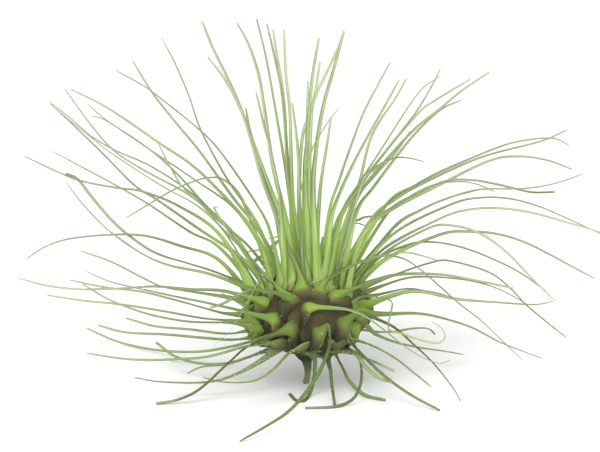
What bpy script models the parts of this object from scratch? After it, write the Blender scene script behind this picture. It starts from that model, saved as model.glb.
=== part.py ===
"""An air plant: a squat bulb of swollen leaf bases, with one long thin leaf out of each, on a cut stem.

Every leaf that is seen from the front is drawn there by hand: a few points across and down the front view, from
its tip to its root, and how far behind the stem its tip stands. The front view is a picture of UNITS_PER_MM
units to the millimetre, taken from VIEW_DISTANCE away and VIEW_RISE above the level. Leaves that others hide
there follow the same lines farther back, and leaves behind the bulb are placed by a rule. Lengths are in
millimetres until a mesh is made.
"""

import math
import random

import bmesh
import bpy
from mathutils import Vector

SEED = 20
UNEVENNESS = 0.12
MM = 0.001

# The front view
UNITS_PER_MM = 5.0
AXIS_ACROSS = 306
FOOT_DOWN = 383
MIDDLE_ACROSS = 300
MIDDLE_DOWN = 226
VIEW_RISE = math.radians(14)
VIEW_DISTANCE = 800.0
HALVINGS = 30
SIN_RISE = math.sin(VIEW_RISE)
COS_RISE = math.cos(VIEW_RISE)

# The bulb under the leaf bases
BULB_RADIUS = 11.4
BULB_HALF_HEIGHT = 7.3
BULB_MIDDLE = Vector((0, 0, 14.0))
BULB_SEGMENTS = 20
BULB_RINGS = 10

# The swollen base of a leaf: a spoon that lies on the bulb
BASE_WIDTH = 5.0
BASE_HEIGHT = 7.6
BASE_THICKNESS = 3.6
BASE_DROP = 2.4
BASE_SINK = 0.5
BASE_TAPER = 0.2
BASE_SEGMENTS = 5
BASE_RINGS = 4

# The crown: where the inner leaves leave the top of the bulb
CROWN_DOWN = 285
CROWN_MIDDLE = 1.5
CROWN_LEAN = 0.22
CROWN_FOREMOST = -20

# The blade of a leaf: three-sided, with its keel to the outside
BLADE_WIDTHS = ((0.0, 2.9), (0.05, 2.1), (0.12, 1.55), (0.35, 1.25), (0.75, 1.0), (1.0, 0.7))
CROWN_WIDTHS = ((0.0, 2.6), (0.2, 1.9), (0.4, 1.45), (0.75, 1.05), (1.0, 0.7))
BLADE_THICKNESS = 0.8
THINNEST = 0.62
NARROWEST = 0.72
THINNING = 0.2
KEEL_SHARE = 0.6
ROOT_SINK = 1.0
PLAIN_RINGS = 4
BEND_PER_RING = 45
MOST_RINGS = 11
FINE_STEPS = 10

# Leaves that the front view doesn't show: pairs are for the lowest leaf and the highest, or the shortest reach
# and the longest
SHADED_BREADTH = 0.9
HIDDEN_LEAVES = 13
HIDDEN_BREADTH = 1.1
HIDDEN_TURN = 17
HIDDEN_ROOT_TURN = 58
HIDDEN_SLOPES = (-38, 42)
HIDDEN_REACHES = (34, 52)
HIDDEN_TIP_HEIGHTS = (4, 20)
HIDDEN_ARCHES = (3, 6)
HIDDEN_FIRST_STEP = 3.5
HIDDEN_FIRST_RISES = (2, 5)
HIDDEN_CREST_SHARE = 0.54
HIDDEN_FALL_SHARE = 0.78
HIDDEN_ON_GROUND = (0, 2, 5)
GOLDEN_SHARE = 0.618

# The cut stem
STEM_ROUTE = ((-1.0, 0.0, 7.6), (-0.5, 0.0, 6.3), (0.15, 0.0, 4.8), (0.3, 0.0, 3.6), (0.3, 0.0, 2.4),
              (0.25, 0.0, 1.3), (0.0, 0.0, 0.4), (0.0, 0.0, 0.0))
STEM_RADII = (1.9, 1.65, 1.25, 0.95, 0.74, 0.6, 0.56, 0.6)
STEM_SMOOTHNESS = 3
STEM_SHARP_ANGLE = math.radians(40)
GAP = 0.3
WELD = 0.01

GROUND = None

# Leaves that are rooted on the near side of the bulb and bend away behind it
NEAR_ROOTS = ("right_18", "right_19", "right_21", "right_23", "right_26", "right_27", "left_16", "left_19",
              "left_22", "left_24", "left_26", "left_27", "left_30")

# name: (how far behind the stem the tip is, breadth, points from tip to root)
LEFT_LEAVES = {
    "left_01": (3, 1.0, [(65, 89), (93, 127), (116, 152), (148, 172), (190, 195), (220, 221),
                          (250, 247), (278, 281)]),
    "left_02": (-8, 1.0, [(49, 101), (70, 117), (92, 136), (116, 150), (150, 165), (190, 191),
                          (225, 225), (272, 284)]),
    "left_03": (12, 1.0, [(51, 104), (75, 126), (105, 155), (135, 185), (160, 201), (200, 229),
                          (240, 256), (268, 281)]),
    "left_04": (-16, 1.0, [(51, 104), (100, 144), (130, 165), (165, 187), (200, 207), (234, 240),
                           (250, 256), (268, 284)]),
    "left_05": (18, 1.0, [(71, 89), (110, 109), (160, 143), (190, 163), (215, 186), (250, 225),
                          (268, 258), (280, 281)]),
    "left_06": (-20, 1.0, [(88, 104), (106, 119), (140, 142), (195, 179), (235, 208), (262, 248),
                           (280, 284)]),
    "left_07": (26, 1.0, [(92, 116), (106, 120), (150, 149), (178, 174), (205, 204), (236, 236),
                          (268, 280)]),
    "left_08": (7, 1.0, [(133, 61), (153, 93), (175, 121), (200, 151), (234, 198), (262, 234),
                          (282, 280)]),
    "left_09": (-18, 1.0, [(116, 70), (145, 86), (165, 101), (195, 125), (220, 150), (258, 205),
                           (271, 232), (288, 284)]),
    "left_10": (-1, 1.0, [(162, 38), (175, 62), (190, 97), (202, 131), (228, 179), (258, 223),
                          (284, 281)]),
    "left_11": (-14, 1.9, [(202, 21), (213, 48), (231, 85), (246, 122), (262, 177), (273, 207),
                           (286, 242), (297, 270), (302, 284)]),
    "left_12": (30, 1.1, [(208, 57), (222, 75), (234, 95), (247, 125), (268, 182), (288, 235),
                          (296, 280)]),
    "left_13": (-34, 1.0, [(158, 143), (170, 166), (183, 187), (205, 208), (232, 242), (266, 285)]),
    "left_14": (22, 1.1, [(53, 151), (85, 168), (115, 184), (148, 203), (190, 231), (220, 247),
                          (262, 279)]),
    "left_15": (-12, 1.1, [(25, 156), (55, 170), (80, 180), (115, 187), (143, 191), (180, 206),
                           (220, 234), (264, 284)]),
    "left_16": (30, 1.2, [(66, 173), (78, 179), (93, 198), (115, 223), (140, 243), (160, 254),
                          (190, 263), (220, 273), (254, 288)]),
    "left_17": (-28, 1.1, [(66, 182), (85, 206), (110, 231), (142, 253), (170, 265), (208, 273),
                           (240, 285), (262, 294)]),
    "left_18": (22, 1.2, [(27, 258), (45, 246), (70, 238), (110, 234), (145, 235), (180, 245),
                          (220, 260), (258, 283)]),
    "left_19": (34, 1.1, [(81, 251), (110, 261), (140, 276), (162, 286), (190, 291), (232, 298),
                          (255, 303)]),
    "left_20": (38, 0.9, [(127, 217), (150, 203), (172, 190), (190, 182), (208, 177), (225, 180),
                          (245, 205), (278, 280)]),
    "left_21": (-16, 1.2, [(19, 278), (45, 285), (80, 289), (120, 288), (155, 286), (190, 289),
                           (225, 291), (266, 302)]),
    "left_22": (28, 1.2, [(70, 280), (105, 287), (140, 291), (170, 298), (200, 306), (225, 313),
                          (255, 314)]),
    "left_23": (-28, 1.2, [(86, 271), (110, 281), (143, 289), (175, 296), (205, 302), (235, 309),
                           (257, 315), (277, 317)]),
    "left_24": (8, 1.2, [(47, 295), (80, 300), (120, 304), (160, 310), (200, 317), (230, 320),
                         (256, 320)]),
    "left_25": (-18, 1.2, [(83, 284), (93, 290), (113, 301), (150, 314), (190, 321), (230, 322),
                           (257, 324)]),
    "left_26": (26, 1.1, [(126, 318), (155, 326), (190, 329), (225, 333), (256, 326)]),
    "left_27": (18, 1.2, [(98, 325), (125, 332), (165, 334), (200, 337), (230, 339), (256, 332)]),
    "left_28": (-20, 1.2, [(87, 328), (120, 342), (160, 350), (200, 351), (235, 345), (264, 333)]),
    "left_29": (-26, 1.2, [(87, 353), (130, 359), (170, 359), (208, 356), (245, 346), (276, 337)]),
    "left_30": (8, 1.1, [(156, 342), (175, 356), (200, 363), (230, 362), (264, 349)]),
    "left_31": (-2, 1.0, [(187, 373), (203, 366), (230, 363), (268, 345)]),
    "left_32": (-12, 1.2, [(135, 377), (160, 381), (200, 382), (228, 377), (259, 362), (275, 347)]),
    "left_33": (GROUND, 1.4, [(156, 403), (178, 399), (200, 388), (228, 362), (250, 344), (291, 326)]),
    "short_left_1": (-36, 1.3, [(222, 293), (235, 300), (247, 307), (257, 307)]),
    "short_left_2": (-32, 1.3, [(211, 307), (225, 302), (239, 294), (253, 289), (272, 291), (291, 300)]),
    "short_left_3": (-38, 1.1, [(230, 252), (243, 257), (256, 270), (282, 290)]),
    "thread": (-22, 0.7, [(211, 348), (226, 335), (234, 325), (251, 296), (258, 281), (266, 262),
                          (276, 284)]),
}
TOP_LEAVES = {
    "top_01": (-16, 1.3, [(237, 23), (248, 43), (258, 72), (264, 105), (273, 165), (287, 225),
                          (297, 284)]),
    "top_02": (-34, 1.0, [(256, 92), (264, 125), (270, 148), (280, 200), (292, 285)]),
    "top_03": (5, 1.2, [(257, 19), (266, 55), (277, 115), (287, 175), (296, 245), (300, 279)]),
    "top_04": (-4, 1.3, [(267, 24), (275, 58), (283, 100), (289, 180), (293, 225), (301, 284)]),
    "top_05": (26, 1.0, [(273, 30), (277, 55), (284, 100), (288, 170), (298, 279)]),
    "top_06": (8, 0.9, [(284, 30), (286, 75), (290, 115), (292, 190), (296, 230), (303, 279)]),
    "top_07": (-38, 1.2, [(292, 102), (297, 140), (299, 175), (300, 210), (304, 285)]),
    "top_08": (36, 1.1, [(246, 108), (250, 130), (258, 155), (266, 185), (276, 215), (290, 279)]),
    "top_09": (38, 1.0, [(308, 81), (307, 115), (306, 150), (304, 190), (307, 279)]),
    "top_10": (-12, 1.3, [(319, 38), (313, 72), (309, 110), (307, 140), (305, 180), (308, 284)]),
    "top_11": (30, 1.1, [(320, 62), (316, 88), (312, 110), (310, 150), (309, 190), (310, 279)]),
    "top_12": (12, 0.9, [(344, 33), (330, 66), (318, 90), (309, 115), (302, 140), (299, 200),
                         (305, 279)]),
    "top_13": (-20, 1.4, [(344, 31), (334, 68), (323, 107), (316, 150), (313, 195), (313, 284)]),
    "top_14": (-40, 0.9, [(339, 108), (330, 119), (320, 135), (312, 150), (302, 185), (300, 205),
                          (303, 285)]),
    "top_15": (42, 1.0, [(331, 118), (327, 145), (322, 175), (319, 205), (314, 279)]),
    "top_16": (1, 1.0, [(390, 62), (378, 84), (363, 113), (350, 147), (338, 182), (329, 210),
                         (317, 279)]),
    "top_17": (-28, 1.0, [(399, 80), (383, 109), (370, 132), (355, 160), (340, 192), (331, 220),
                          (319, 284)]),
    "top_18": (26, 1.0, [(406, 79), (394, 100), (380, 120), (369, 142), (360, 180), (353, 207),
                         (328, 279)]),
}
UPPER_RIGHT_LEAVES = {
    "right_01": (-4, 0.9, [(440, 76), (422, 88), (403, 114), (380, 150), (345, 203), (333, 228),
                           (320, 279)]),
    "right_02": (-22, 1.0, [(440, 69), (432, 85), (413, 116), (385, 152), (355, 190), (341, 217),
                            (323, 284)]),
    "right_03": (6, 1.0, [(470, 79), (435, 100), (418, 113), (380, 158), (346, 207), (335, 235),
                           (324, 279)]),
    "right_04": (-12, 1.2, [(489, 72), (462, 90), (440, 108), (410, 133), (363, 187), (348, 215),
                            (328, 284)]),
    "right_05": (-30, 1.2, [(461, 100), (440, 110), (412, 137), (374, 186), (356, 213), (332, 284)]),
    "right_06": (38, 1.0, [(410, 131), (395, 153), (375, 175), (355, 203), (326, 279)]),
    "right_07": (-38, 1.2, [(424, 161), (405, 157), (390, 159), (373, 170), (360, 187), (330, 285)]),
    "right_08": (12, 1.2, [(566, 130), (540, 141), (480, 157), (420, 184), (393, 200), (370, 220),
                           (336, 279)]),
    "right_09": (-14, 1.2, [(569, 145), (555, 138), (530, 139), (500, 146), (445, 169), (415, 185),
                            (385, 206), (335, 284)]),
    "right_10": (20, 1.1, [(572, 169), (548, 160), (520, 156), (490, 160), (440, 184), (390, 210),
                           (366, 231), (334, 279)]),
    "right_11": (-24, 1.1, [(554, 191), (530, 191), (500, 184), (470, 179), (440, 182), (387, 210),
                            (362, 235), (337, 284)]),
    "right_12": (34, 0.9, [(494, 191), (478, 184), (460, 181), (435, 184), (410, 196), (385, 216),
                           (338, 279)]),
    "right_13": (-6, 1.1, [(582, 174), (555, 183), (525, 188), (480, 189), (450, 197), (420, 210),
                           (392, 229), (340, 284)]),
    "right_14": (14, 1.1, [(600, 233), (570, 219), (540, 206), (510, 198), (480, 197), (450, 204),
                           (392, 234), (344, 279)]),
    "right_15": (-10, 1.1, [(600, 232), (570, 223), (530, 212), (500, 208), (470, 209), (440, 218),
                            (380, 251), (345, 285)]),
    "right_16": (10, 1.1, [(594, 278), (570, 265), (530, 244), (500, 234), (470, 231), (440, 234),
                           (385, 259), (350, 282)]),
    "right_17": (-20, 1.1, [(553, 299), (530, 276), (510, 255), (490, 239), (470, 229), (450, 225),
                            (430, 227), (385, 252), (347, 287)]),
}
LOWER_RIGHT_LEAVES = {
    "right_18": (26, 1.1, [(545, 290), (520, 272), (490, 257), (460, 246), (430, 241), (405, 245),
                           (372, 263), (352, 285)]),
    "right_19": (12, 1.2, [(566, 337), (545, 320), (526, 304), (512, 289), (490, 272), (450, 260),
                           (430, 262), (400, 272), (356, 290)]),
    "right_20": (-26, 1.7, [(513, 288), (480, 281), (440, 274), (400, 274), (375, 280), (356, 289),
                           (341, 296)]),
    "right_21": (30, 1.1, [(526, 303), (500, 289), (470, 280), (430, 276), (400, 279), (356, 296)]),
    "right_22": (-14, 1.2, [(556, 300), (535, 304), (500, 302), (460, 299), (440, 295), (420, 291),
                            (400, 293), (356, 303)]),
    "right_23": (34, 1.3, [(457, 299), (440, 293), (425, 290), (410, 288), (395, 290), (359, 299)]),
    "right_24": (-36, 1.0, [(437, 260), (420, 255), (405, 252), (390, 254), (370, 258), (342, 271),
                            (320, 286)]),
    "right_25": (-20, 1.2, [(523, 360), (500, 338), (480, 319), (458, 302), (430, 277), (414, 264),
                            (400, 257), (380, 256), (350, 266), (317, 292)]),
    "right_26": (4, 1.3, [(542, 358), (501, 342), (472, 327), (440, 317), (415, 313), (380, 314),
                          (356, 311)]),
    "right_27": (14, 1.2, [(463, 354), (440, 350), (419, 347), (396, 342), (376, 336), (356, 328)]),
    "right_28": (GROUND, 1.2, [(461, 401), (453, 387), (434, 363), (415, 345), (396, 328), (380, 320),
                               (360, 316), (345, 319)]),
    "right_29": (-26, 1.2, [(450, 360), (440, 363), (425, 358), (405, 346), (385, 330), (365, 316),
                            (345, 309), (309, 307)]),
    "dry_end": (-28, 1.1, [(432, 322), (441, 328), (445, 337), (438, 343), (420, 340), (400, 333),
                           (388, 329), (391, 315), (393, 303), (380, 297), (363, 297), (349, 304)]),
    "right_31": (24, 1.1, [(435, 334), (428, 328), (412, 328), (395, 331), (376, 331), (355, 324)]),
    "right_32": (-22, 1.2, [(431, 386), (415, 373), (396, 358), (375, 346), (348, 333)]),
    "right_33": (GROUND, 1.4, [(440, 410), (415, 397), (390, 380), (370, 362), (352, 345), (338, 337)]),
    "right_34": (-26, 1.2, [(391, 382), (378, 377), (365, 366), (355, 353), (343, 343)]),
    "right_35": (2, 1.0, [(395, 371), (380, 364), (366, 358), (343, 346)]),
    "curl": (GROUND, 1.2, [(305, 408), (334, 407), (352, 400), (360, 387), (362, 372), (359, 356),
                           (346, 326)]),
    "right_36": (GROUND, 1.2, [(385, 400), (365, 395), (350, 382), (342, 368), (334, 352)]),
    "cut_1": (GROUND, 1.5, [(335, 406), (332, 385), (330, 368), (327, 351)]),
    "cut_2": (GROUND, 1.3, [(289, 393), (296, 400), (303, 401), (310, 393), (314, 378), (315, 360),
                            (311, 347)]),
    "front": (GROUND, 1.3, [(240, 441), (268, 425), (289, 411), (307, 391), (320, 371), (328, 352),
                            (328, 333), (323, 327)]),
    "low_front": (-24, 1.4, [(203, 377), (221, 381), (240, 382), (258, 379), (274, 368), (288, 353),
                             (300, 341)]),
}

# A leaf that another one hides in the front view: the points left off that leaf's tip, and how far behind the
# stem its own tip is
SHADED_LEAVES = {
    "left_21": (2, 38),
    "left_23": (2, 44),
    "left_28": (1, 28),
    "left_29": (2, 16),
    "left_15": (3, 38),
    "left_17": (2, 36),
    "left_11": (2, 34),
    "top_04": (1, 34),
    "top_10": (2, 44),
    "top_13": (1, 36),
    "right_02": (2, 38),
    "right_04": (2, 34),
    "right_09": (3, 34),
    "right_11": (2, 40),
    "right_13": (3, 44),
    "right_15": (2, 34),
    "right_17": (2, 36),
    "right_20": (1, 42),
    "right_22": (2, 32),
    "right_25": (2, 36),
}


def clear_scene():
    for old in list(bpy.data.objects):
        bpy.data.objects.remove(old)


def picture_of(across, down):
    """Right and up from the foot, in millimetres, of a point of the front view."""
    return (across - AXIS_ACROSS) / UNITS_PER_MM, (FOOT_DOWN - down) / UNITS_PER_MM


def from_front(across, down, depth):
    """The point seen there in the front view, standing depth in front of the stem."""
    right, up = picture_of(across, down)
    middle_right, middle_up = picture_of(MIDDLE_ACROSS, MIDDLE_DOWN)
    nearer = 1 - depth / VIEW_DISTANCE
    right = middle_right + (right - middle_right) * nearer
    up = middle_up + (up - middle_up) * nearer
    return Vector((right, up * SIN_RISE - depth * COS_RISE, up * COS_RISE + depth * SIN_RISE))


def tip_depth(across, down, behind):
    """How far in front of the stem a tip lies, from how far behind it or from its rest on the ground."""
    up = picture_of(across, down)[1]
    middle_up = picture_of(MIDDLE_ACROSS, MIDDLE_DOWN)[1]
    shrink = (up - middle_up) / VIEW_DISTANCE
    if behind is GROUND:
        return (THINNEST / 2 - up * COS_RISE) / (SIN_RISE - shrink * COS_RISE)
    return (up * SIN_RISE - behind) / (COS_RISE + shrink * SIN_RISE)


def bulb_share(point):
    """1 on the bulb's surface, less inside it and more outside."""
    away = point - BULB_MIDDLE
    flat = (away.x ** 2 + away.y ** 2) / BULB_RADIUS ** 2
    return math.sqrt(flat + away.z ** 2 / BULB_HALF_HEIGHT ** 2)


def bulb_normal(point):
    away = point - BULB_MIDDLE
    flat = 1 / BULB_RADIUS ** 2
    return Vector((away.x * flat, away.y * flat, away.z / BULB_HALF_HEIGHT ** 2)).normalized()


def bulb_point(across, down, in_front):
    """The point of the bulb's surface seen there, on its near side or its far side."""
    side = 1 if in_front else -1
    inner, outer = 0.0, side * 2 * BULB_RADIUS
    start = from_front(across, down, 0)
    if bulb_share(start) > 1:
        inner = start.y * COS_RISE - (start.z - BULB_MIDDLE.z) * SIN_RISE
    for _ in range(HALVINGS):
        middle = (inner + outer) / 2
        if bulb_share(from_front(across, down, middle)) < 1:
            inner = middle
        else:
            outer = middle
    found = from_front(across, down, inner)
    return BULB_MIDDLE + (found - BULB_MIDDLE) / bulb_share(found)


def uneven():
    """A small random step, because no leaf grows quite true."""
    return Vector(random.uniform(-UNEVENNESS, UNEVENNESS) for _ in range(3))


def depth_of(point):
    return point.z * SIN_RISE - point.y * COS_RISE


def crown_root(across, behind):
    """A root on top of the bulb, nearer the side that its leaf leans to."""
    right = picture_of(across, CROWN_DOWN)[0]
    back = CROWN_MIDDLE + CROWN_LEAN * max(behind, CROWN_FOREMOST)
    height = math.sqrt(max(1 - (right ** 2 + back ** 2) / BULB_RADIUS ** 2, 0)) * BULB_HALF_HEIGHT
    return BULB_MIDDLE + Vector((right, back, height))


def leaf_points(name, behind, points):
    """The leaf's route in space, from root to tip."""
    order = list(reversed(points))
    far = tip_depth(*order[-1], behind)
    if order[0][1] <= CROWN_DOWN:
        root = crown_root(order[0][0], behind)
    else:
        root = bulb_point(*order[0], behind is GROUND or behind < 0 or name in NEAR_ROOTS)
    near = depth_of(root)
    runs = [0.0]
    for a, b in zip(order, order[1:]):
        runs.append(runs[-1] + math.dist(a, b))
    route = [root + uneven()]
    for spot, run in zip(order[1:], runs[1:]):
        depth = near + (far - near) * run / runs[-1]
        if from_front(*spot, depth).z < 0:
            depth = tip_depth(*spot, GROUND)
        route.append(from_front(*spot, depth) + uneven())
    return route


def smooth_route(route):
    """Many points on one smooth curve through the route's points."""
    ends = [2 * route[0] - route[1], *route, 2 * route[-1] - route[-2]]
    fine = []
    for a, b, c, d in zip(ends, ends[1:], ends[2:], ends[3:]):
        for step in range(FINE_STEPS):
            t = step / FINE_STEPS
            fine.append(0.5 * (2 * b + (c - a) * t + (2 * a - 5 * b + 4 * c - d) * t * t
                               + (3 * b - a - 3 * c + d) * t ** 3))
    fine.append(route[-1])
    return fine


def total_bend(fine):
    bend = 0.0
    for a, b, c in zip(fine, fine[1:], fine[2:]):
        bend += math.degrees((b - a).angle(c - b, 0))
    return bend


def resample(fine, count):
    """Count points at equal spacing along the fine route."""
    runs = [0.0]
    for a, b in zip(fine, fine[1:]):
        runs.append(runs[-1] + (b - a).length)
    points = []
    place = 0
    for index in range(count):
        goal = runs[-1] * index / (count - 1)
        while place < len(fine) - 2 and runs[place + 1] < goal:
            place += 1
        share = (goal - runs[place]) / max(runs[place + 1] - runs[place], 1e-9)
        points.append(fine[place].lerp(fine[place + 1], min(share, 1)))
    return points


def at_share(table, share):
    """The value at a share of the way along a table of (share, value)."""
    for (a, low), (b, high) in zip(table, table[1:]):
        if share <= b:
            return low + (high - low) * (share - a) / (b - a)
    return table[-1][1]


def loft(name, rings, collection):
    """One closed solid through rings of equally many points, in triangles."""
    solid = bmesh.new()
    rows = [[solid.verts.new(point * MM) for point in ring] for ring in rings]
    sides = len(rows[0])
    for low, high in zip(rows, rows[1:]):
        for i in range(sides):
            j = (i + 1) % sides
            solid.faces.new((low[i], low[j], high[j]))
            solid.faces.new((low[i], high[j], high[i]))
    solid.faces.new(tuple(reversed(rows[0])))
    solid.faces.new(tuple(rows[-1]))
    bmesh.ops.recalc_face_normals(solid, faces=solid.faces)
    mesh = bpy.data.meshes.new(name)
    solid.to_mesh(mesh)
    solid.free()
    piece = bpy.data.objects.new(name, mesh)
    collection.objects.link(piece)
    return piece


def add_blade(name, route, breadth, widths, collection):
    """The blade: a three-sided taper along the route, its keel on the side away from the bulb."""
    fine = smooth_route(route)
    count = min(MOST_RINGS, PLAIN_RINGS + round(total_bend(fine) / BEND_PER_RING))
    centres = resample(fine, count)
    keel = bulb_normal(route[0])
    rings = []
    for index, centre in enumerate(centres):
        before = centres[max(index - 1, 0)]
        after = centres[min(index + 1, count - 1)]
        along = (after - before).normalized()
        keel = (keel - along * keel.dot(along)).normalized()
        across = along.cross(keel)
        share = index / (count - 1)
        half = max(at_share(widths, share) * breadth, NARROWEST) / 2
        thick = max(BLADE_THICKNESS * (1 - THINNING * share) * math.sqrt(breadth), THINNEST)
        middle = centre.copy()
        middle.z = max(middle.z, thick / 2)
        face = middle - keel * thick * (1 - KEEL_SHARE)
        ring = [face + across * half, face - across * half, middle + keel * thick * KEEL_SHARE]
        for corner in ring:
            corner.z = max(corner.z, 0)
        rings.append(ring)
    rings[0] = [corner - bulb_normal(route[0]) * ROOT_SINK for corner in rings[0]]
    return loft(name, rings, collection)


def add_base(name, root, collection):
    """The swollen base: a low-sided spoon on the bulb, its fat end at the root of the blade."""
    out = bulb_normal(root)
    up = (Vector((0, 0, 1)) - out * out.z).normalized()
    across = up.cross(out)
    solid = bmesh.new()
    bmesh.ops.create_uvsphere(solid, u_segments=BASE_SEGMENTS, v_segments=BASE_RINGS, radius=1)
    centre = root - up * BASE_DROP - out * BASE_SINK
    for vert in solid.verts:
        rise = vert.co.z
        fat = 1 - BASE_TAPER * (1 - rise)
        level = across * vert.co.x * BASE_WIDTH / 2 + out * vert.co.y * BASE_THICKNESS / 2
        vert.co = MM * (centre + level * fat + up * rise * BASE_HEIGHT / 2)
        vert.co.z = max(vert.co.z, 0)
    bmesh.ops.triangulate(solid, faces=solid.faces)
    bmesh.ops.recalc_face_normals(solid, faces=solid.faces)
    mesh = bpy.data.meshes.new(name)
    solid.to_mesh(mesh)
    solid.free()
    piece = bpy.data.objects.new(name, mesh)
    collection.objects.link(piece)
    return piece


def between(pair, share):
    return pair[0] + (pair[1] - pair[0]) * share


def backward(turn):
    """The level direction that many degrees to one side of straight back."""
    return Vector((-math.sin(math.radians(turn)), math.cos(math.radians(turn)), 0))


def hidden_route(index):
    """A leaf behind the bulb: out, up a little, and over, bending in behind the bulb."""
    share_round = (index * GOLDEN_SHARE) % 1 * 2 - 1
    start_out = backward(HIDDEN_ROOT_TURN * share_round)
    out = backward(HIDDEN_TURN * share_round)
    rise = index / (HIDDEN_LEAVES - 1)
    slope = math.radians(between(HIDDEN_SLOPES, rise))
    root = BULB_MIDDLE + start_out * BULB_RADIUS * math.cos(slope)
    root.z += BULB_HALF_HEIGHT * math.sin(slope)
    reach = between(HIDDEN_REACHES, (2 * index * GOLDEN_SHARE) % 1)
    end = THINNEST / 2 if index in HIDDEN_ON_GROUND else between(HIDDEN_TIP_HEIGHTS, rise)
    crest = max(root.z, end) + between(HIDDEN_ARCHES, rise)
    first = root + (start_out + out) * HIDDEN_FIRST_STEP
    first.z += between(HIDDEN_FIRST_RISES, rise)
    top = out * reach * HIDDEN_CREST_SHARE + Vector((0, 0, crest))
    fall = out * reach * HIDDEN_FALL_SHARE + Vector((0, 0, (crest + end) / 2))
    return [root, first, top, fall, out * reach + Vector((0, 0, end))]


def add_bulb(collection):
    solid = bmesh.new()
    bmesh.ops.create_uvsphere(solid, u_segments=BULB_SEGMENTS, v_segments=BULB_RINGS, radius=1)
    for vert in solid.verts:
        shaped = Vector((vert.co.x * BULB_RADIUS, vert.co.y * BULB_RADIUS, vert.co.z * BULB_HALF_HEIGHT))
        vert.co = (shaped + BULB_MIDDLE) * MM
    mesh = bpy.data.meshes.new("rosette")
    solid.to_mesh(mesh)
    solid.free()
    bulb = bpy.data.objects.new("rosette", mesh)
    collection.objects.link(bulb)
    return bulb


def islands(solid):
    """The connected groups of points of a mesh."""
    waiting = set(solid.verts)
    groups = []
    while waiting:
        edge_of_group = [waiting.pop()]
        group = list(edge_of_group)
        while edge_of_group:
            vert = edge_of_group.pop()
            for edge in vert.link_edges:
                other = edge.other_vert(vert)
                if other in waiting:
                    waiting.remove(other)
                    group.append(other)
                    edge_of_group.append(other)
        groups.append(group)
    return groups


def keep_outside(mesh):
    """Fills the hollows that the joined leaves closed off, by removing their inner walls."""
    solid = bmesh.new()
    solid.from_mesh(mesh)
    groups = sorted(islands(solid), key=len)
    for group in groups[:-1]:
        bmesh.ops.delete(solid, geom=group, context="VERTS")
    solid.to_mesh(mesh)
    solid.free()


def fuse(body, pieces):
    """Joins every object of a collection to the body, and removes them."""
    join = body.modifiers.new("join", "BOOLEAN")
    join.operation = "UNION"
    join.operand_type = "COLLECTION"
    join.collection = pieces
    join.solver = "EXACT"
    bpy.context.view_layer.update()
    graph = bpy.context.evaluated_depsgraph_get()
    whole = bpy.data.meshes.new_from_object(body.evaluated_get(graph))
    body.modifiers.clear()
    keep_outside(whole)
    body.data = whole
    for piece in list(pieces.objects):
        bpy.data.objects.remove(piece)
    bpy.data.collections.remove(pieces)


def add_rosette(collection):
    """The bulb with every leaf, as the one body that it grew as."""
    shoots = bpy.data.collections.new("shoots")
    bpy.context.scene.collection.children.link(shoots)
    bulb = add_bulb(collection)
    leaves = LEFT_LEAVES | TOP_LEAVES | UPPER_RIGHT_LEAVES | LOWER_RIGHT_LEAVES
    for name, (left_off, behind) in SHADED_LEAVES.items():
        leaves["behind_" + name] = (behind, SHADED_BREADTH, leaves[name][2][left_off:])
    for name, (behind, breadth, points) in leaves.items():
        route = leaf_points(name, behind, points)
        crown = points[-1][1] <= CROWN_DOWN
        add_blade(name, route, breadth, CROWN_WIDTHS if crown else BLADE_WIDTHS, shoots)
        if not crown:
            add_base("base_" + name, route[0], shoots)
    for index in range(HIDDEN_LEAVES):
        route = hidden_route(index)
        add_blade(f"hidden_{index}", route, HIDDEN_BREADTH, BLADE_WIDTHS, shoots)
        add_base(f"base_hidden_{index}", route[0], shoots)
    fuse(bulb, shoots)
    return bulb


def make_tube(name, route, radii, collection):
    """A closed tube along the route, first drawn as a curve."""
    curve = bpy.data.curves.new(name, "CURVE")
    curve.dimensions = "3D"
    curve.bevel_depth = MM
    curve.bevel_resolution = STEM_SMOOTHNESS
    curve.use_fill_caps = True
    spline = curve.splines.new("POLY")
    spline.points.add(len(route) - 1)
    for point, place, radius in zip(spline.points, route, radii):
        point.co = (*(Vector(place) * MM), 1)
        point.radius = radius
    drawn = bpy.data.objects.new(name + "_drawn", curve)
    collection.objects.link(drawn)
    bpy.context.view_layer.update()
    graph = bpy.context.evaluated_depsgraph_get()
    mesh = bpy.data.meshes.new_from_object(drawn.evaluated_get(graph))
    bpy.data.objects.remove(drawn)
    solid = bmesh.new()
    solid.from_mesh(mesh)
    bmesh.ops.remove_doubles(solid, verts=solid.verts, dist=WELD * MM)
    solid.to_mesh(mesh)
    solid.free()
    tube = bpy.data.objects.new(name, mesh)
    collection.objects.link(tube)
    return tube


def cut_socket(rosette):
    """The hollow in the bulb's base that the top of the stem sits in, GAP wider all round."""
    cutters = bpy.data.collections.new("cutters")
    bpy.context.scene.collection.children.link(cutters)
    top = Vector(STEM_ROUTE[0])
    beyond = top + (top - Vector(STEM_ROUTE[1])).normalized() * GAP
    route = (beyond, *STEM_ROUTE[1:])
    cutter = make_tube("stem_socket", route, [radius + GAP for radius in STEM_RADII], cutters)
    cut = rosette.modifiers.new("socket", "BOOLEAN")
    cut.operation = "DIFFERENCE"
    cut.object = cutter
    cutter.hide_render = True
    cutter.display_type = "WIRE"


def add_stem_stub(collection):
    """The cut stem: a short bent tube that ends in the flat foot."""
    stem = make_tube("stem_stub", STEM_ROUTE, STEM_RADII, collection)
    stem.data.shade_smooth()
    stem.data.set_sharp_from_angle(angle=STEM_SHARP_ANGLE)
    return stem


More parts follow.
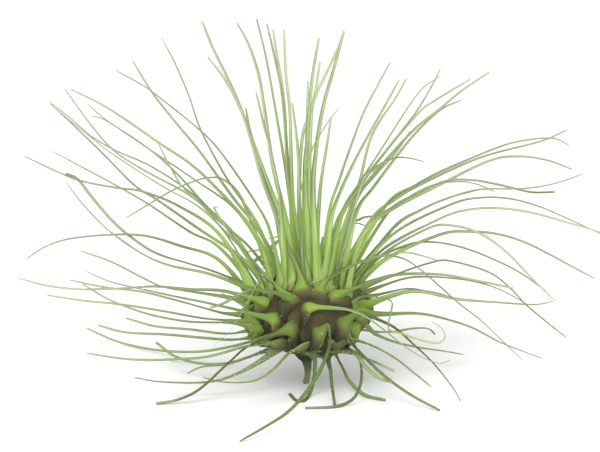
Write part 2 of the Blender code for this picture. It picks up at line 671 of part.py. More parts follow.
def add_material(piece, name, colour, roughness):
    material = bpy.data.materials.new(name)
    material.use_nodes = True
    shader = material.node_tree.nodes["Principled BSDF"]
    shader.inputs["Base Color"].default_value = (*colour, 1)
    shader.inputs["Roughness"].default_value = roughness
    shader.inputs["Metallic"].default_value = 0
    piece.data.materials.clear()
    piece.data.materials.append(material)


def main():
    random.seed(SEED)
    clear_scene()
    collection = bpy.data.collections.new("air_plant")
    bpy.context.scene.collection.children.link(collection)
    rosette = add_rosette(collection)
    cut_socket(rosette)
    add_material(rosette, "leaf_green", (0.28, 0.42, 0.15), 0.6)
    stem = add_stem_stub(collection)
    add_material(stem, "cut_stem_brown", (0.11, 0.08, 0.05), 0.8)


main()
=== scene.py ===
"""Looks of an air plant: a bulb of swollen leaf bases, each with a long channelled leaf, on a cut stem.

Each leaf is one smooth sweep, from its broad dark sheath over a green shoulder into the thin blade.
Its line is a few listed points of the front view and the depth of its tip, as in the solids it replaces.
Lengths are in millimetres until a mesh is made.
"""

from collections import namedtuple
import math
import random

import bmesh
import bpy
from mathutils import Matrix, Vector, noise


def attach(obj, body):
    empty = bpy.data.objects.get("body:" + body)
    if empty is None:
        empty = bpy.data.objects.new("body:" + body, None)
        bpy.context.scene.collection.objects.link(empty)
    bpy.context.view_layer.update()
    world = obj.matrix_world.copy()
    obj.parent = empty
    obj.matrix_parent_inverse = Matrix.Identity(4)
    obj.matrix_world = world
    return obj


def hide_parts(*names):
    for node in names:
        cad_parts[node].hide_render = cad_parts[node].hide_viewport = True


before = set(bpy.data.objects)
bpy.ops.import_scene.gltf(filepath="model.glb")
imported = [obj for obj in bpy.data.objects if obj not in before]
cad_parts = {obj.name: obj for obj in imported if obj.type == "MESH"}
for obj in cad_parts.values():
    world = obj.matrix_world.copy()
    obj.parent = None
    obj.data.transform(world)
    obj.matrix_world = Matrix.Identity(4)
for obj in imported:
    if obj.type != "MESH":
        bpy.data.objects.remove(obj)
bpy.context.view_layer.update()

MM = 0.001
SEED = 7

# The front view, in picture points: the stem's axis and foot, the middle, the width, and the camera
UNITS_PER_MM = 5.0
AXIS_ACROSS = 306
FOOT_DOWN = 383
MIDDLE_ACROSS = 300
MIDDLE_DOWN = 226
PICTURE_WIDTH = 600
VIEW_RISE = math.radians(14)
VIEW_DISTANCE = 800.0
SENSOR = 36.0
SIN_RISE = math.sin(VIEW_RISE)
COS_RISE = math.cos(VIEW_RISE)

# The bulb that the leaves root on, and the rough body of old sheaths a little outside it
BULB_RADIUS = 11.4
BULB_HALF_HEIGHT = 7.3
BULB_MIDDLE = Vector((0, 0, 14.0))
HALVINGS = 30
CORE_SEGMENTS = (96, 64)
CORE_GROWTH = 0.1
CORE_NOISE = 0.5
CORE_ROUGHNESS = 0.045

# The crown: leaves whose root is seen above CROWN_DOWN stand on top of the bulb
CROWN_DOWN = 285
CROWN_MIDDLE = 1.5
CROWN_LEAN = 0.22
CROWN_FOREMOST = -20
CROWN_SINK = 3.5
SINK_ALONG = 0.4
SINK_DOWN = 0.6
NEAR_SIDE = 2.5
SIDEWAYS = 0.8

# Sheaths on the bulb: spots are (distance up the bulb from the root, height over its surface)
SHEATH_LENGTH = 6.8
SHEATH_DROP = 1.0
SHEATH_TILT = 0.9
SHEATH_SPOTS = ((-4.0, -2.8), (-2.5, -1.5), (-1.0, -0.3), (0.5, 0.7))
FRONT_SPOTS = ((-5.0, -2.0), (-3.6, -0.7), (-2.1, 0.9), (-0.9, 3.0))

# Leaves rooted lower than HANGING_ROOT that go down steeper than HANGING_WAY hang from under the bulb
HANGING_ROOT = 9.5
HANGING_WAY = -0.6
HANGING_SINK = 2.5
HANGING_RISE = 1.5
HANGING_OUT = 0.3

# Half the breadth of a leaf, its swelling outwards and the depth of its channel as a share of that, by the
# distance past its shoulder: negative is down the sheath
HALF_WIDTHS = ((-7.4, 1.6), (-4.0, 2.5), (-2.4, 2.8), (-1.4, 2.65), (-0.6, 2.1), (0.2, 1.42), (1.0, 0.94),
               (1.8, 0.66), (3.0, 0.53), (5.0, 0.46), (8.0, 0.43), (13.0, 0.41))
FRONT_HALF_WIDTHS = ((-5.6, 1.6), (-3.4, 1.9), (-1.6, 1.5), (0.0, 1.2), (3.0, 0.95), (6.0, 0.78), (15.0, 0.56),
                     (30.0, 0.46))
CROWN_HALF_WIDTHS = ((-3.5, 1.9), (0.0, 1.7), (3.0, 1.2), (8.0, 0.82), (15.0, 0.57), (30.0, 0.46))
YOUNG_HALF_WIDTHS = ((-3.5, 1.5), (0.0, 1.4), (3.0, 1.0), (12.0, 0.5))
SWELLINGS = ((-7.4, 0.3), (-4.0, 0.5), (-2.4, 0.9), (-1.4, 1.2), (-0.6, 1.15), (0.2, 0.86), (1.0, 0.66),
             (1.9, 0.52), (3.0, 0.44), (5.0, 0.38), (8.0, 0.35))
FRONT_SWELLINGS = ((-5.6, 0.4), (-3.4, 0.8), (-1.0, 0.8), (1.0, 0.68), (6.0, 0.52), (15.0, 0.42))
CROWN_SWELLINGS = ((-3.5, 1.0), (0.0, 0.9), (4.0, 0.7), (9.0, 0.52), (15.0, 0.44))
CHANNELS = ((-6.8, -0.3), (-1.0, -0.25), (1.2, 0.0), (3.5, 0.4), (8.0, 0.5))

# How a leaf narrows, by the share of its length; low leaves and those named here end blunter
TAPER = ((0.0, 1.0), (0.25, 0.91), (0.5, 0.78), (0.8, 0.63), (0.95, 0.52), (1.0, 0.38))
BLUNT_TAPER = ((0.0, 1.0), (0.5, 0.95), (1.0, 0.85))
BLUNT_LEAVES = ("cut_1", "cut_2", "left_33", "short_left_2", "right_11", "left_16")
LOW_BLUNT = 0.6
BREADTH_FROM = 1.5

# The rings along a leaf, the points round them, and how they turn
FINE_STEPS = 10
NEAR_STEP = 0.36
FAR_STEP = 1.0
NEAR_LENGTH = 6.0
OUTER_POINTS = 10
INNER_POINTS = 5
INNER_SHARE = 0.84
RELAX = 0.06
LEAST_LEVEL = 0.2
MOST_TWIST = math.radians(28)
LEAST_HEIGHT = 0.02

# Low leaves are duller and scalier near the bulb, and those that rest on the ground are darker and duller all
# along
LOW_ROOT = 15.0
LOW_SPREAD = 6.0
LOW_START = -2.6
LOW_REACH = 12.0
LOW_MIX = 0.8
LOWEST = 0.25
RESTING_TINT = 0.62
RESTING_DULL = ((1.0, 0.0), (7.0, 0.9))

# Leaves differ in tint, get painted light on top and painted shade below, and turn green farther down the
# sheath at the bulb's sides
TINTS = (0.9, 1.08)
PAINTED_TOP_LIGHT = (0.1, 0.3)
SIDE_GREEN = ((5.5, -0.3), (9.5, 0.6))

# How thick the silvery fuzz is along the crown's leaves, low leaves and every blade
CROWN_FUZZ = ((-5.0, 0.0), (-3.4, 0.6), (-1.0, 0.45), (1.6, 0.0))
LOW_FUZZ = ((-1.0, 0.0), (0.5, 1.0), (9.0, 0.9), (18.0, 0.3), (30.0, 0.0))
BLADE_FUZZ = ((4.0, 0.0), (30.0, 0.5))

# Single pale scales: a few at the rims of every shoulder, and many on the low leaves
SHOULDER_SCALES = 4
LOW_SCALES = 90
SCALE_SIZES = (0.06, 0.22)
SCALE_BREADTH = 0.6
SCALE_RISE = 0.5
SHOULDER_PLACES = (-2.6, -0.2)
LOW_PLACES = (0.3, LOW_REACH)
RIM_TURNS = (0.1, 0.6)
LOW_TURNS = (-0.3, math.pi + 0.3)

# The cut stem
STEM_ROUTE = ((-1.0, 0.0, 8.6), (-0.9, 0.0, 7.4), (-0.5, 0.0, 6.3), (0.15, 0.0, 4.8), (0.3, 0.0, 3.6),
              (0.3, 0.0, 2.4), (0.25, 0.0, 1.3), (0.0, 0.0, 0.4), (0.0, 0.0, 0.0))
STEM_RADII = (2.0, 1.9, 1.65, 1.25, 0.95, 0.74, 0.6, 0.56, 0.6)
STEM_STEP = 0.15
STEM_SIDES = 24
STEM_RIDGES = 5
STEM_RIDGE_DEPTH = 0.06
STEM_NOISE = 1.4
STEM_ROUGHNESS = 0.12

# Leaves behind the bulb, which the front view doesn't show
HIDDEN_LEAVES = 13
HIDDEN_BREADTH = 1.1
HIDDEN_TURN = 17
HIDDEN_ROOT_TURN = 58
HIDDEN_SLOPES = (-38, 42)
HIDDEN_REACHES = (34, 52)
HIDDEN_TIP_HEIGHTS = (4, 20)
HIDDEN_ARCHES = (3, 6)
HIDDEN_FIRST_STEP = 3.5
HIDDEN_FIRST_RISES = (2, 5)
HIDDEN_CREST_SHARE = 0.54
HIDDEN_FALL_SHARE = 0.78
HIDDEN_ON_GROUND = (0, 2, 5)
GOLDEN_SHARE = 0.618

# Young leaves in the middle of the crown, which show only from above
YOUNG_LEAVES = 12
YOUNG_MIDDLE = Vector((1.7, -0.6, 21.0))
YOUNG_TURN = math.radians(137.5)
YOUNG_SPACING = 1.15
YOUNG_HEIGHTS = (6.0, 9.0)
YOUNG_LEAN = 0.3
YOUNG_BEND = 0.3

# The kinds of leaf, by where they root
BASE = "base"
CROWN = "crown"
YOUNG = "young"

# Said in place of a tip's distance: it rests on the ground
GROUND = None

# Leaves that are rooted on the near side of the bulb and bend away behind it
NEAR_ROOTS = ("right_18", "right_19", "right_21", "right_23", "right_26", "right_27", "left_16", "left_19",
              "left_22", "left_24", "left_26", "left_27", "left_30")

# name: (how far behind the stem the tip is, breadth, points from tip to root)
LEFT_LEAVES = {
    "left_01": (3, 1.0, [
        (65, 89), (93, 127), (116, 152), (148, 172), (190, 195), (220, 221), (250, 247), (278, 281)]),
    "left_02": (-8, 1.0, [
        (49, 101), (70, 117), (92, 136), (116, 150), (150, 165), (190, 191), (225, 225), (272, 284)]),
    "left_03": (12, 1.0, [
        (51, 104), (75, 126), (105, 155), (135, 185), (160, 201), (200, 229), (240, 256), (268, 281)]),
    "left_04": (-16, 1.0, [
        (51, 104), (100, 144), (130, 165), (165, 187), (200, 207), (234, 240), (250, 257), (263, 272),
        (278, 288), (291, 299)]),
    "left_05": (18, 1.0, [
        (71, 89), (110, 109), (160, 143), (190, 163), (215, 186), (250, 225), (268, 258), (280, 281)]),
    "left_06": (-20, 1.0, [
        (88, 104), (106, 119), (140, 142), (195, 179), (235, 208), (262, 248), (280, 284)]),
    "left_07": (26, 1.0, [
        (92, 116), (106, 120), (150, 149), (178, 174), (205, 204), (236, 236), (268, 280)]),
    "left_08": (7, 1.0, [(133, 61), (153, 93), (175, 121), (200, 151), (234, 198), (262, 234), (282, 280)]),
    "left_09": (-18, 1.0, [
        (116, 70), (145, 86), (165, 101), (195, 125), (220, 150), (258, 205), (271, 232), (288, 284)]),
    "left_10": (-1, 1.0, [(162, 38), (175, 62), (190, 97), (202, 131), (228, 179), (258, 223), (284, 281)]),
    "left_11": (-14, 1.9, [
        (202, 21), (213, 48), (231, 85), (246, 122), (262, 177), (273, 207), (286, 242), (296, 264),
        (301, 278), (303, 290)]),
    "left_12": (30, 1.1, [(208, 57), (222, 75), (234, 95), (247, 125), (268, 182), (288, 235), (296, 280)]),
    "left_13": (-34, 1.0, [(158, 143), (170, 166), (183, 187), (205, 208), (232, 242), (266, 285)]),
    "left_14": (22, 1.1, [
        (53, 151), (85, 168), (115, 184), (148, 203), (190, 231), (220, 247), (262, 279)]),
    "left_15": (-12, 1.1, [
        (25, 156), (55, 170), (80, 180), (115, 187), (143, 191), (180, 206), (220, 234), (264, 284)]),
    "left_16": (30, 1.2, [
        (66, 173), (78, 179), (93, 198), (115, 223), (140, 243), (160, 254), (190, 263), (220, 273),
        (254, 288)]),
    "left_17": (-28, 1.1, [
        (66, 182), (85, 206), (110, 231), (142, 253), (170, 265), (208, 273), (240, 285), (262, 294)]),
    "left_18": (22, 1.2, [
        (27, 258), (45, 246), (70, 238), (110, 234), (145, 235), (180, 245), (220, 260), (258, 283)]),
    "left_19": (34, 1.1, [
        (81, 251), (110, 261), (140, 276), (162, 286), (190, 291), (232, 298), (255, 303)]),
    "left_20": (38, 0.9, [
        (127, 217), (150, 203), (172, 190), (190, 182), (208, 177), (225, 180), (245, 205), (278, 280)]),
    "left_21": (-16, 1.2, [
        (19, 278), (45, 285), (80, 289), (120, 288), (155, 286), (190, 289), (225, 291), (266, 302)]),
    "left_22": (28, 1.2, [
        (70, 280), (105, 287), (140, 291), (170, 298), (200, 306), (225, 313), (255, 314)]),
    "left_23": (-28, 1.2, [
        (86, 271), (110, 281), (143, 289), (175, 296), (205, 302), (235, 309), (257, 315), (277, 317)]),
    "left_24": (8, 1.2, [(47, 295), (80, 300), (120, 304), (160, 310), (200, 317), (230, 320), (256, 320)]),
    "left_25": (-18, 1.2, [
        (83, 284), (93, 290), (113, 301), (150, 314), (190, 321), (230, 322), (257, 324)]),
    "left_26": (26, 1.1, [(126, 318), (155, 326), (190, 329), (225, 333), (256, 326)]),
    "left_27": (18, 1.2, [(98, 325), (125, 332), (165, 334), (200, 337), (230, 339), (256, 332)]),
    "left_28": (-20, 1.2, [(87, 328), (120, 342), (160, 350), (200, 351), (235, 345), (264, 333)]),
    "left_29": (-26, 1.2, [(87, 353), (130, 359), (170, 359), (208, 356), (245, 346), (276, 337)]),
    "left_30": (8, 1.1, [(156, 342), (175, 356), (200, 363), (230, 362), (264, 349)]),
    "left_31": (-2, 1.0, [(187, 373), (203, 366), (230, 363), (268, 345)]),
    "left_32": (-12, 1.2, [(135, 377), (160, 381), (200, 382), (228, 377), (259, 362), (275, 347)]),
    "left_33": (GROUND, 1.4, [(156, 403), (178, 399), (200, 388), (228, 362), (250, 344), (291, 326)]),
    "short_left_1": (-36, 1.3, [(222, 293), (235, 300), (247, 307), (257, 307)]),
    "short_left_2": (-32, 1.3, [(211, 307), (225, 302), (239, 294), (253, 289), (272, 291), (291, 300)]),
    "short_left_3": (-38, 1.1, [(230, 252), (243, 257), (256, 270), (282, 290)]),
    "short_left_4": (-30, 0.8, [(219, 208), (214, 207), (220, 218), (232, 236), (250, 258), (272, 283)]),
    "thread": (-22, 0.02, [
        (211, 348), (226, 335), (234, 325), (251, 296), (258, 281), (266, 262), (276, 284)]),
}
TOP_LEAVES = {
    "top_01": (-16, 1.3, [(237, 23), (248, 43), (258, 72), (264, 105), (273, 165), (287, 225), (297, 284)]),
    "top_02": (-34, 1.0, [(256, 92), (264, 125), (270, 148), (280, 200), (292, 285)]),
    "top_03": (5, 1.2, [(257, 19), (266, 55), (277, 115), (287, 175), (296, 245), (300, 279)]),
    "top_04": (-4, 1.3, [(267, 24), (275, 58), (283, 100), (289, 180), (293, 225), (301, 284)]),
    "top_05": (26, 1.0, [(273, 30), (277, 55), (284, 100), (288, 170), (298, 279)]),
    "top_06": (8, 0.9, [(284, 30), (286, 75), (290, 115), (292, 190), (296, 230), (303, 279)]),
    "top_07": (-38, 1.2, [(292, 102), (297, 140), (299, 175), (300, 210), (304, 285)]),
    "top_08": (36, 1.1, [(246, 108), (250, 130), (258, 155), (266, 185), (276, 215), (290, 279)]),
    "top_09": (38, 1.0, [(308, 81), (307, 115), (306, 150), (304, 190), (307, 279)]),
    "top_10": (-12, 1.3, [(319, 38), (313, 72), (309, 110), (307, 140), (305, 180), (308, 284)]),
    "top_11": (30, 1.1, [(320, 62), (316, 88), (312, 110), (310, 150), (309, 190), (310, 279)]),
    "top_12": (12, 0.9, [(344, 33), (330, 66), (318, 90), (309, 115), (302, 140), (299, 200), (305, 279)]),
    "top_13": (-20, 1.4, [(344, 31), (334, 68), (323, 107), (316, 150), (313, 195), (313, 284)]),
    "top_14": (-40, 0.3, [
        (339, 108), (330, 119), (320, 135), (312, 150), (302, 185), (300, 205), (303, 285)]),
    "top_15": (42, 1.0, [(331, 118), (327, 145), (322, 175), (319, 205), (314, 279)]),
    "top_16": (1, 1.0, [(390, 62), (378, 84), (363, 113), (350, 147), (338, 182), (329, 210), (317, 279)]),
    "top_17": (-28, 1.0, [
        (399, 80), (383, 109), (370, 132), (355, 160), (340, 192), (331, 220), (319, 284)]),
    "top_18": (26, 1.0, [
        (406, 79), (394, 100), (380, 120), (369, 142), (360, 180), (353, 207), (328, 279)]),
}
UPPER_RIGHT_LEAVES = {
    "right_01": (-4, 0.9, [
        (440, 76), (422, 88), (403, 114), (380, 150), (345, 203), (333, 228), (320, 279)]),
    "right_02": (-22, 1.0, [
        (440, 69), (432, 85), (413, 116), (385, 152), (355, 190), (341, 217), (323, 284)]),
    "right_03": (6, 1.0, [
        (470, 79), (435, 100), (418, 113), (380, 158), (346, 207), (335, 235), (324, 279)]),
    "right_04": (-12, 1.2, [
        (489, 72), (462, 90), (440, 108), (410, 133), (363, 187), (348, 215), (328, 284)]),
    "right_05": (-30, 1.2, [(461, 100), (440, 110), (412, 137), (374, 186), (356, 213), (332, 284)]),
    "right_06": (38, 1.0, [(410, 131), (395, 153), (375, 175), (355, 203), (326, 279)]),
    "right_07": (-38, 1.6, [(424, 161), (405, 157), (390, 159), (373, 170), (360, 187), (330, 285)]),
    "right_08": (12, 1.2, [
        (566, 130), (540, 141), (480, 157), (420, 184), (393, 200), (370, 220), (336, 279)]),
    "right_09": (-14, 1.2, [
        (569, 145), (555, 138), (530, 139), (500, 146), (445, 169), (415, 185), (385, 206), (335, 284)]),
    "right_10": (20, 1.1, [
        (572, 169), (548, 160), (520, 156), (490, 160), (440, 184), (390, 210), (366, 231), (334, 279)]),
    "right_11": (-24, 1.1, [
        (554, 191), (530, 191), (500, 184), (470, 179), (440, 182), (387, 210), (362, 235), (337, 284)]),
    "right_12": (34, 0.9, [
        (494, 191), (478, 184), (460, 181), (435, 184), (410, 196), (385, 216), (338, 279)]),
    "right_13": (-6, 1.1, [
        (582, 174), (555, 183), (525, 188), (480, 189), (450, 197), (420, 210), (392, 229), (340, 284)]),
    "right_14": (14, 1.1, [
        (600, 233), (570, 219), (540, 206), (510, 198), (480, 197), (450, 204), (392, 234), (344, 279)]),
    "right_15": (-10, 1.1, [
        (600, 232), (570, 223), (530, 212), (500, 208), (470, 209), (440, 218), (380, 251), (345, 285)]),
    "right_16": (10, 1.1, [
        (594, 278), (570, 265), (530, 244), (500, 234), (470, 231), (440, 234), (385, 259), (350, 282)]),
    "right_17": (-20, 1.1, [
        (553, 299), (530, 276), (510, 255), (490, 239), (470, 229), (450, 225), (430, 227), (385, 252),
        (347, 287)]),
}
LOWER_RIGHT_LEAVES = {
    "right_18": (26, 1.1, [
        (545, 290), (520, 272), (490, 257), (460, 246), (430, 241), (405, 245), (372, 263), (352, 285)]),
    "right_19": (12, 1.5, [
        (566, 337), (545, 320), (526, 304), (512, 289), (490, 272), (450, 260), (430, 262), (400, 272),
        (356, 290)]),
    "right_20": (-26, 1.6, [
        (513, 288), (480, 281), (440, 274), (400, 274), (375, 280), (356, 287), (335, 296)]),
    "right_21": (30, 1.4, [(526, 303), (500, 289), (470, 280), (430, 276), (400, 279), (356, 296)]),
    "right_22": (-14, 1.5, [
        (556, 300), (535, 304), (500, 302), (460, 299), (440, 295), (420, 291), (400, 293), (360, 305)]),
    "right_23": (34, 1.3, [(457, 299), (440, 293), (425, 290), (410, 288), (395, 290), (359, 299)]),
    "right_24": (-36, 1.0, [
        (437, 260), (420, 255), (405, 252), (390, 254), (370, 258), (342, 271), (320, 286)]),
    "right_25": (-20, 0.8, [
        (523, 360), (500, 338), (480, 319), (458, 302), (430, 277), (414, 264), (400, 257), (380, 256),
        (350, 266), (326, 281), (317, 292)]),
    "right_26": (4, 1.3, [
        (542, 358), (501, 342), (472, 327), (440, 317), (415, 313), (380, 314), (356, 311)]),
    "right_27": (14, 1.2, [
        (463, 354), (440, 350), (419, 347), (396, 342), (376, 334), (365, 325), (353, 325)]),
    "right_28": (GROUND, 1.2, [
        (461, 401), (453, 387), (434, 363), (415, 345), (396, 328), (380, 320), (365, 314), (354, 315),
        (341, 320)]),
    "right_29": (-26, 0.8, [
        (450, 360), (440, 363), (425, 358), (405, 346), (385, 330), (365, 316), (345, 309), (309, 307)]),
    "dry_end": (-28, 0.45, [
        (432, 322), (441, 328), (445, 337), (438, 343), (420, 340), (400, 333), (388, 329), (391, 311),
        (392, 303), (385, 299), (363, 297), (349, 304)]),
    "small_curl_1": (30, 1.0, [
        (385, 210), (378, 215), (370, 216), (364, 217), (358, 220), (352, 222), (343, 238), (330, 279)]),
    "small_curl_2": (26, 0.7, [(376, 224), (365, 225), (358, 223), (350, 229), (332, 279)]),
    "right_31": (24, 1.1, [(435, 334), (428, 328), (412, 328), (395, 331), (376, 331), (355, 324)]),
    "right_32": (-22, 1.2, [(431, 386), (415, 373), (396, 358), (375, 346), (348, 333)]),
    "right_33": (GROUND, 1.4, [
        (440, 410), (415, 397), (390, 380), (370, 362), (353, 344), (346, 335), (337, 337)]),
    "right_34": (-26, 1.2, [(391, 382), (378, 377), (365, 366), (355, 353), (343, 343)]),
    "right_35": (2, 1.0, [(395, 371), (380, 364), (366, 358), (343, 346)]),
    "curl": (GROUND, 1.2, [
        (305, 408), (334, 407), (352, 400), (360, 387), (362, 372), (359, 352), (352, 340), (345, 333),
        (338, 337)]),
    "right_36": (GROUND, 1.2, [(385, 400), (365, 395), (350, 382), (342, 368), (334, 352)]),
    "cut_1": (GROUND, 0.9, [(335, 406), (332, 385), (330, 368), (327, 351)]),
    "cut_2": (GROUND, 0.8, [
        (289, 393), (296, 400), (303, 401), (310, 393), (314, 378), (315, 360), (311, 347)]),
    "front": (GROUND, 1.2, [
        (240, 441), (268, 425), (289, 411), (307, 391), (320, 371), (328, 352), (331, 336), (328, 326),
        (318, 329)]),
    "low_front": (-24, 1.0, [
        (203, 377), (221, 381), (240, 382), (258, 379), (274, 368), (288, 353), (300, 341)]),
}

# A leaf that another one hides in the front view: the points left off that one's tip, and how far behind
# the stem its own tip is
SHADED_BREADTH = 0.9
SHADED_LEAVES = {
    "left_21": (2, 38),
    "left_23": (2, 44),
    "left_28": (1, 28),
    "left_29": (2, 16),
    "left_15": (3, 38),
    "left_17": (2, 36),
    "left_11": (2, 34),
    "top_04": (1, 34),
    "top_10": (2, 44),
    "top_13": (1, 36),
    "right_02": (2, 38),
    "right_04": (2, 34),
    "right_09": (3, 34),
    "right_11": (2, 40),
    "right_13": (3, 44),
    "right_15": (2, 34),
    "right_17": (2, 36),
    "right_20": (1, 42),
    "right_22": (2, 32),
    "right_25": (2, 36),
}


def srgb(red, green, blue):
    """A colour given in 0 to 255 screen values, as the linear values that a shader takes."""
    linear = []
    for value in (red, green, blue):
        share = value / 255
        linear.append(share / 12.92 if share <= 0.04045 else ((share + 0.055) / 1.055) ** 2.4)
    return Vector(linear)


SHEATH_BLACK = srgb(50, 48, 33)
SHEATH_BROWN = srgb(78, 72, 42)
SHEATH_OLIVE = srgb(100, 104, 52)
SHOULDER_GREEN = srgb(124, 150, 64)
NECK_GREEN = srgb(126, 146, 78)
BLADE_GREEN = srgb(126, 140, 90)
BLADE_PALE = srgb(142, 150, 118)
TIP_GREY = srgb(152, 155, 136)
CROWN_GREEN = srgb(166, 192, 106)
CROWN_BROWN = srgb(110, 98, 62)
CROWN_OLIVE = srgb(128, 136, 70)
LOW_GREEN = srgb(92, 104, 58)
SCALE_WHITE = srgb(222, 222, 208)
# The middle stripe's colour: partly paler fuzz, partly painted highlight
STRIPE_PALE_AND_HIGHLIGHT = srgb(200, 214, 160)
THREAD_GREEN = srgb(140, 156, 108)
MARGIN_TAN = srgb(164, 162, 110)
DARK_OLIVE = srgb(124, 138, 92)
# A dark green painted as shade on a leaf that lies in shade all along
PAINTED_SHADE_GREEN = srgb(98, 128, 48)
DULL_GREY = srgb(112, 114, 88)
TIP_TAN = srgb(146, 142, 122)
DRY_TAN = srgb(190, 172, 136)
DRY_BROWN = srgb(128, 98, 72)
DRY_CREAM = srgb(146, 134, 96)

# The tone of a leaf's inner side, paler with fuzz and with painted light, its outer side, and its rims,
# darkened as painted shade
INNER_TONE_AND_LIGHT = 1.16
OUTER_TONE = 0.88
RIM_PAINTED_SHADE = 0.66

# From which share of its length a leaf turns tan, and how much
TIP_FROM = 0.7
TIP_MIX = 0.7

# The colour along a leaf, by the distance past its shoulder
BASE_COLOURS = ((-7.4, SHEATH_BLACK), (-2.5, SHEATH_BLACK), (-1.7, SHEATH_BROWN), (-1.0, SHEATH_OLIVE),
                (-0.2, SHOULDER_GREEN), (1.6, SHOULDER_GREEN), (3.0, NECK_GREEN), (9.0, BLADE_GREEN),
                (30.0, BLADE_PALE), (60.0, TIP_GREY))
CROWN_BLADE = ((11.0, CROWN_GREEN), (20.0, BLADE_GREEN), (38.0, BLADE_PALE), (60.0, TIP_GREY))
FRONT_COLOURS = ((-5.6, SHEATH_BLACK), (-4.9, SHEATH_BROWN), (-4.0, CROWN_BROWN), (-2.8, CROWN_OLIVE),
                 (-0.9, CROWN_GREEN), *CROWN_BLADE)
CROWN_COLOURS = ((-2.8, SHEATH_BROWN), (-1.4, CROWN_BROWN), (0.4, CROWN_OLIVE), (2.6, CROWN_GREEN),
                 *CROWN_BLADE)

# The colour down the stem, by the share of its length
STEM_COLOURS = ((0.0, SHEATH_BLACK), (0.4, SHEATH_BLACK), (0.6, srgb(84, 88, 52)), (0.85, srgb(104, 106, 48)),
                (0.93, srgb(92, 74, 38)), (1.0, srgb(70, 48, 28)))

# Leaves whose outer part takes another colour, mostly a dry one, and on top_14 a painted shade: the colour,
# and how much of the length it takes
END_FADE = 0.4
LEAF_ENDS = {
    "left_33": (DRY_TAN, 0.16),
    "short_left_1": (DRY_BROWN, 0.2),
    "dry_end": (DRY_CREAM, 0.72),
    "right_31": (DRY_BROWN, 0.12),
    "right_34": (DRY_BROWN, 0.16),
    "right_35": (DRY_TAN, 0.3),
    "cut_1": (DRY_BROWN, 0.08),
    "cut_2": (DRY_BROWN, 0.16),
    "low_front": (DRY_BROWN, 0.3),
    "thread": (THREAD_GREEN, 1.2),
    "front": (LOW_GREEN, 0.75),
    "right_19": (DARK_OLIVE, 0.4),
    "right_20": (DARK_OLIVE, 0.8),
    "left_26": (DARK_OLIVE, 1.0),
    "left_28": (DARK_OLIVE, 1.0),
    "left_30": (DARK_OLIVE, 1.0),
    "right_36": (DARK_OLIVE, 0.9),
    # top_14 lies in shade: its green is painted shade all along
    "top_14": (PAINTED_SHADE_GREEN, 1.6),
    "small_curl_1": (DULL_GREY, 1.4),
    "top_08": (DULL_GREY, 0.14),
    "short_left_4": (DRY_BROWN, 0.1),
    "left_16": (DULL_GREY, 0.1),
    "right_11": (DRY_BROWN, 0.14),
    "right_07": (DARK_OLIVE, 0.5),
    "right_25": (DARK_OLIVE, 0.9),
    "right_33": (DARK_OLIVE, 0.8),
    "right_22": (DARK_OLIVE, 0.3),
    "right_09": (TIP_TAN, 0.1),
    "small_curl_2": (DULL_GREY, 1.4),
    "top_03": (DRY_BROWN, 0.05),
    "top_12": (DRY_TAN, 0.08),
    "left_10": (DRY_TAN, 0.06),
    "right_06": (DRY_BROWN, 0.06),
}

# The skins' plain values
LEAF_SKIN = {"Roughness": 0.55, "Specular IOR Level": 0.22, "Subsurface Weight": 0.35,
             "Subsurface Radius": (0.6, 1.0, 0.3), "Subsurface Scale": 0.001}
SCALE_SKIN = {"Roughness": 0.6}
CORE_SKIN = {"Roughness": 0.75, "Specular IOR Level": 0.15}
FLOOR_SKIN = {"Base Color": (0.93, 0.93, 0.93, 1), "Roughness": 0.9, "Specular IOR Level": 0.1}

# Shares that ease from one range into another: the middle stripe, partly paler fuzz and partly painted
# highlight, across the leaf, along it, through the grain and by the leaf's tint; the dry margin across the
# leaf and at both ends of the shoulder; the streaks along the leaf; and the silvery flecks
STRIPE_ACROSS = (0.1, 0.6), (0.5, 0.0)
STRIPE_ALONG = (3.0, 14.0), (0.0, 1.0)
STRIPE_GRAIN = (0.3, 0.65), (0.4, 1.0)
STRIPE_TINTS = (0.66, 0.85), (0.3, 1.0)
MARGIN_ACROSS = (0.9, 1.0), (0.0, 0.3)
MARGIN_START = (-1.8, -0.6), (0.0, 1.0)
MARGIN_END = (1.0, 4.0), (1.0, 0.0)
STREAKS_ALONG = (-1.0, 4.0), (0.25, 1.0)
FLECKS_SHOWN = (0.5, 0.8), (0.0, 0.5)

# Noise: how often it repeats and its detail; and ramps: the places and colours of their two stops
STREAKS_ACROSS_SCALE = 6.0
STREAKS_ALONG_SCALE = 0.12
STREAKS = (1.0, 3.0)
STREAK_TONES = (0.34, (0.72, 0.76, 0.68)), (0.66, (1.2, 1.17, 1.28))
FLECKS = (5200.0, 2.0)
CLOUDS = (320.0, 4.0)
CLOUD_TONES = (0.38, SHEATH_BLACK), (0.7, SHEATH_BROWN)

# The studio, in metres; a light is (place, width, power)
SKY = {"Color": (1, 1, 1, 1), "Strength": 0.9}
FLOOR_RADIUS = 3
FLOOR_SIDES = 64
FLOOR_HEIGHT = -0.00005
LIGHT_AIM = Vector((0, 0, 0.03))
LIGHTS = {
    "key": (Vector((-0.25, -0.55, 0.7)), 0.5, 4.5),
    "fill": (Vector((0.1, -0.9, 0.25)), 0.6, 4.5),
}


def clamp(value):
    return min(max(value, 0), 1)


def between(pair, share):
    return pair[0] + (pair[1] - pair[0]) * share


def at_share(table, place):
    """The value at a place along a table of (place, value), with straight steps between."""
    if place <= table[0][0]:
        return table[0][1]
    for (a, low), (b, high) in zip(table, table[1:]):
        if place <= b:
            return low + (high - low) * ((place - a) / (b - a))
    return table[-1][1]


def picture_of(across, down):
    """Right and up from the foot, in millimetres, of a point of the front view."""
    return (across - AXIS_ACROSS) / UNITS_PER_MM, (FOOT_DOWN - down) / UNITS_PER_MM


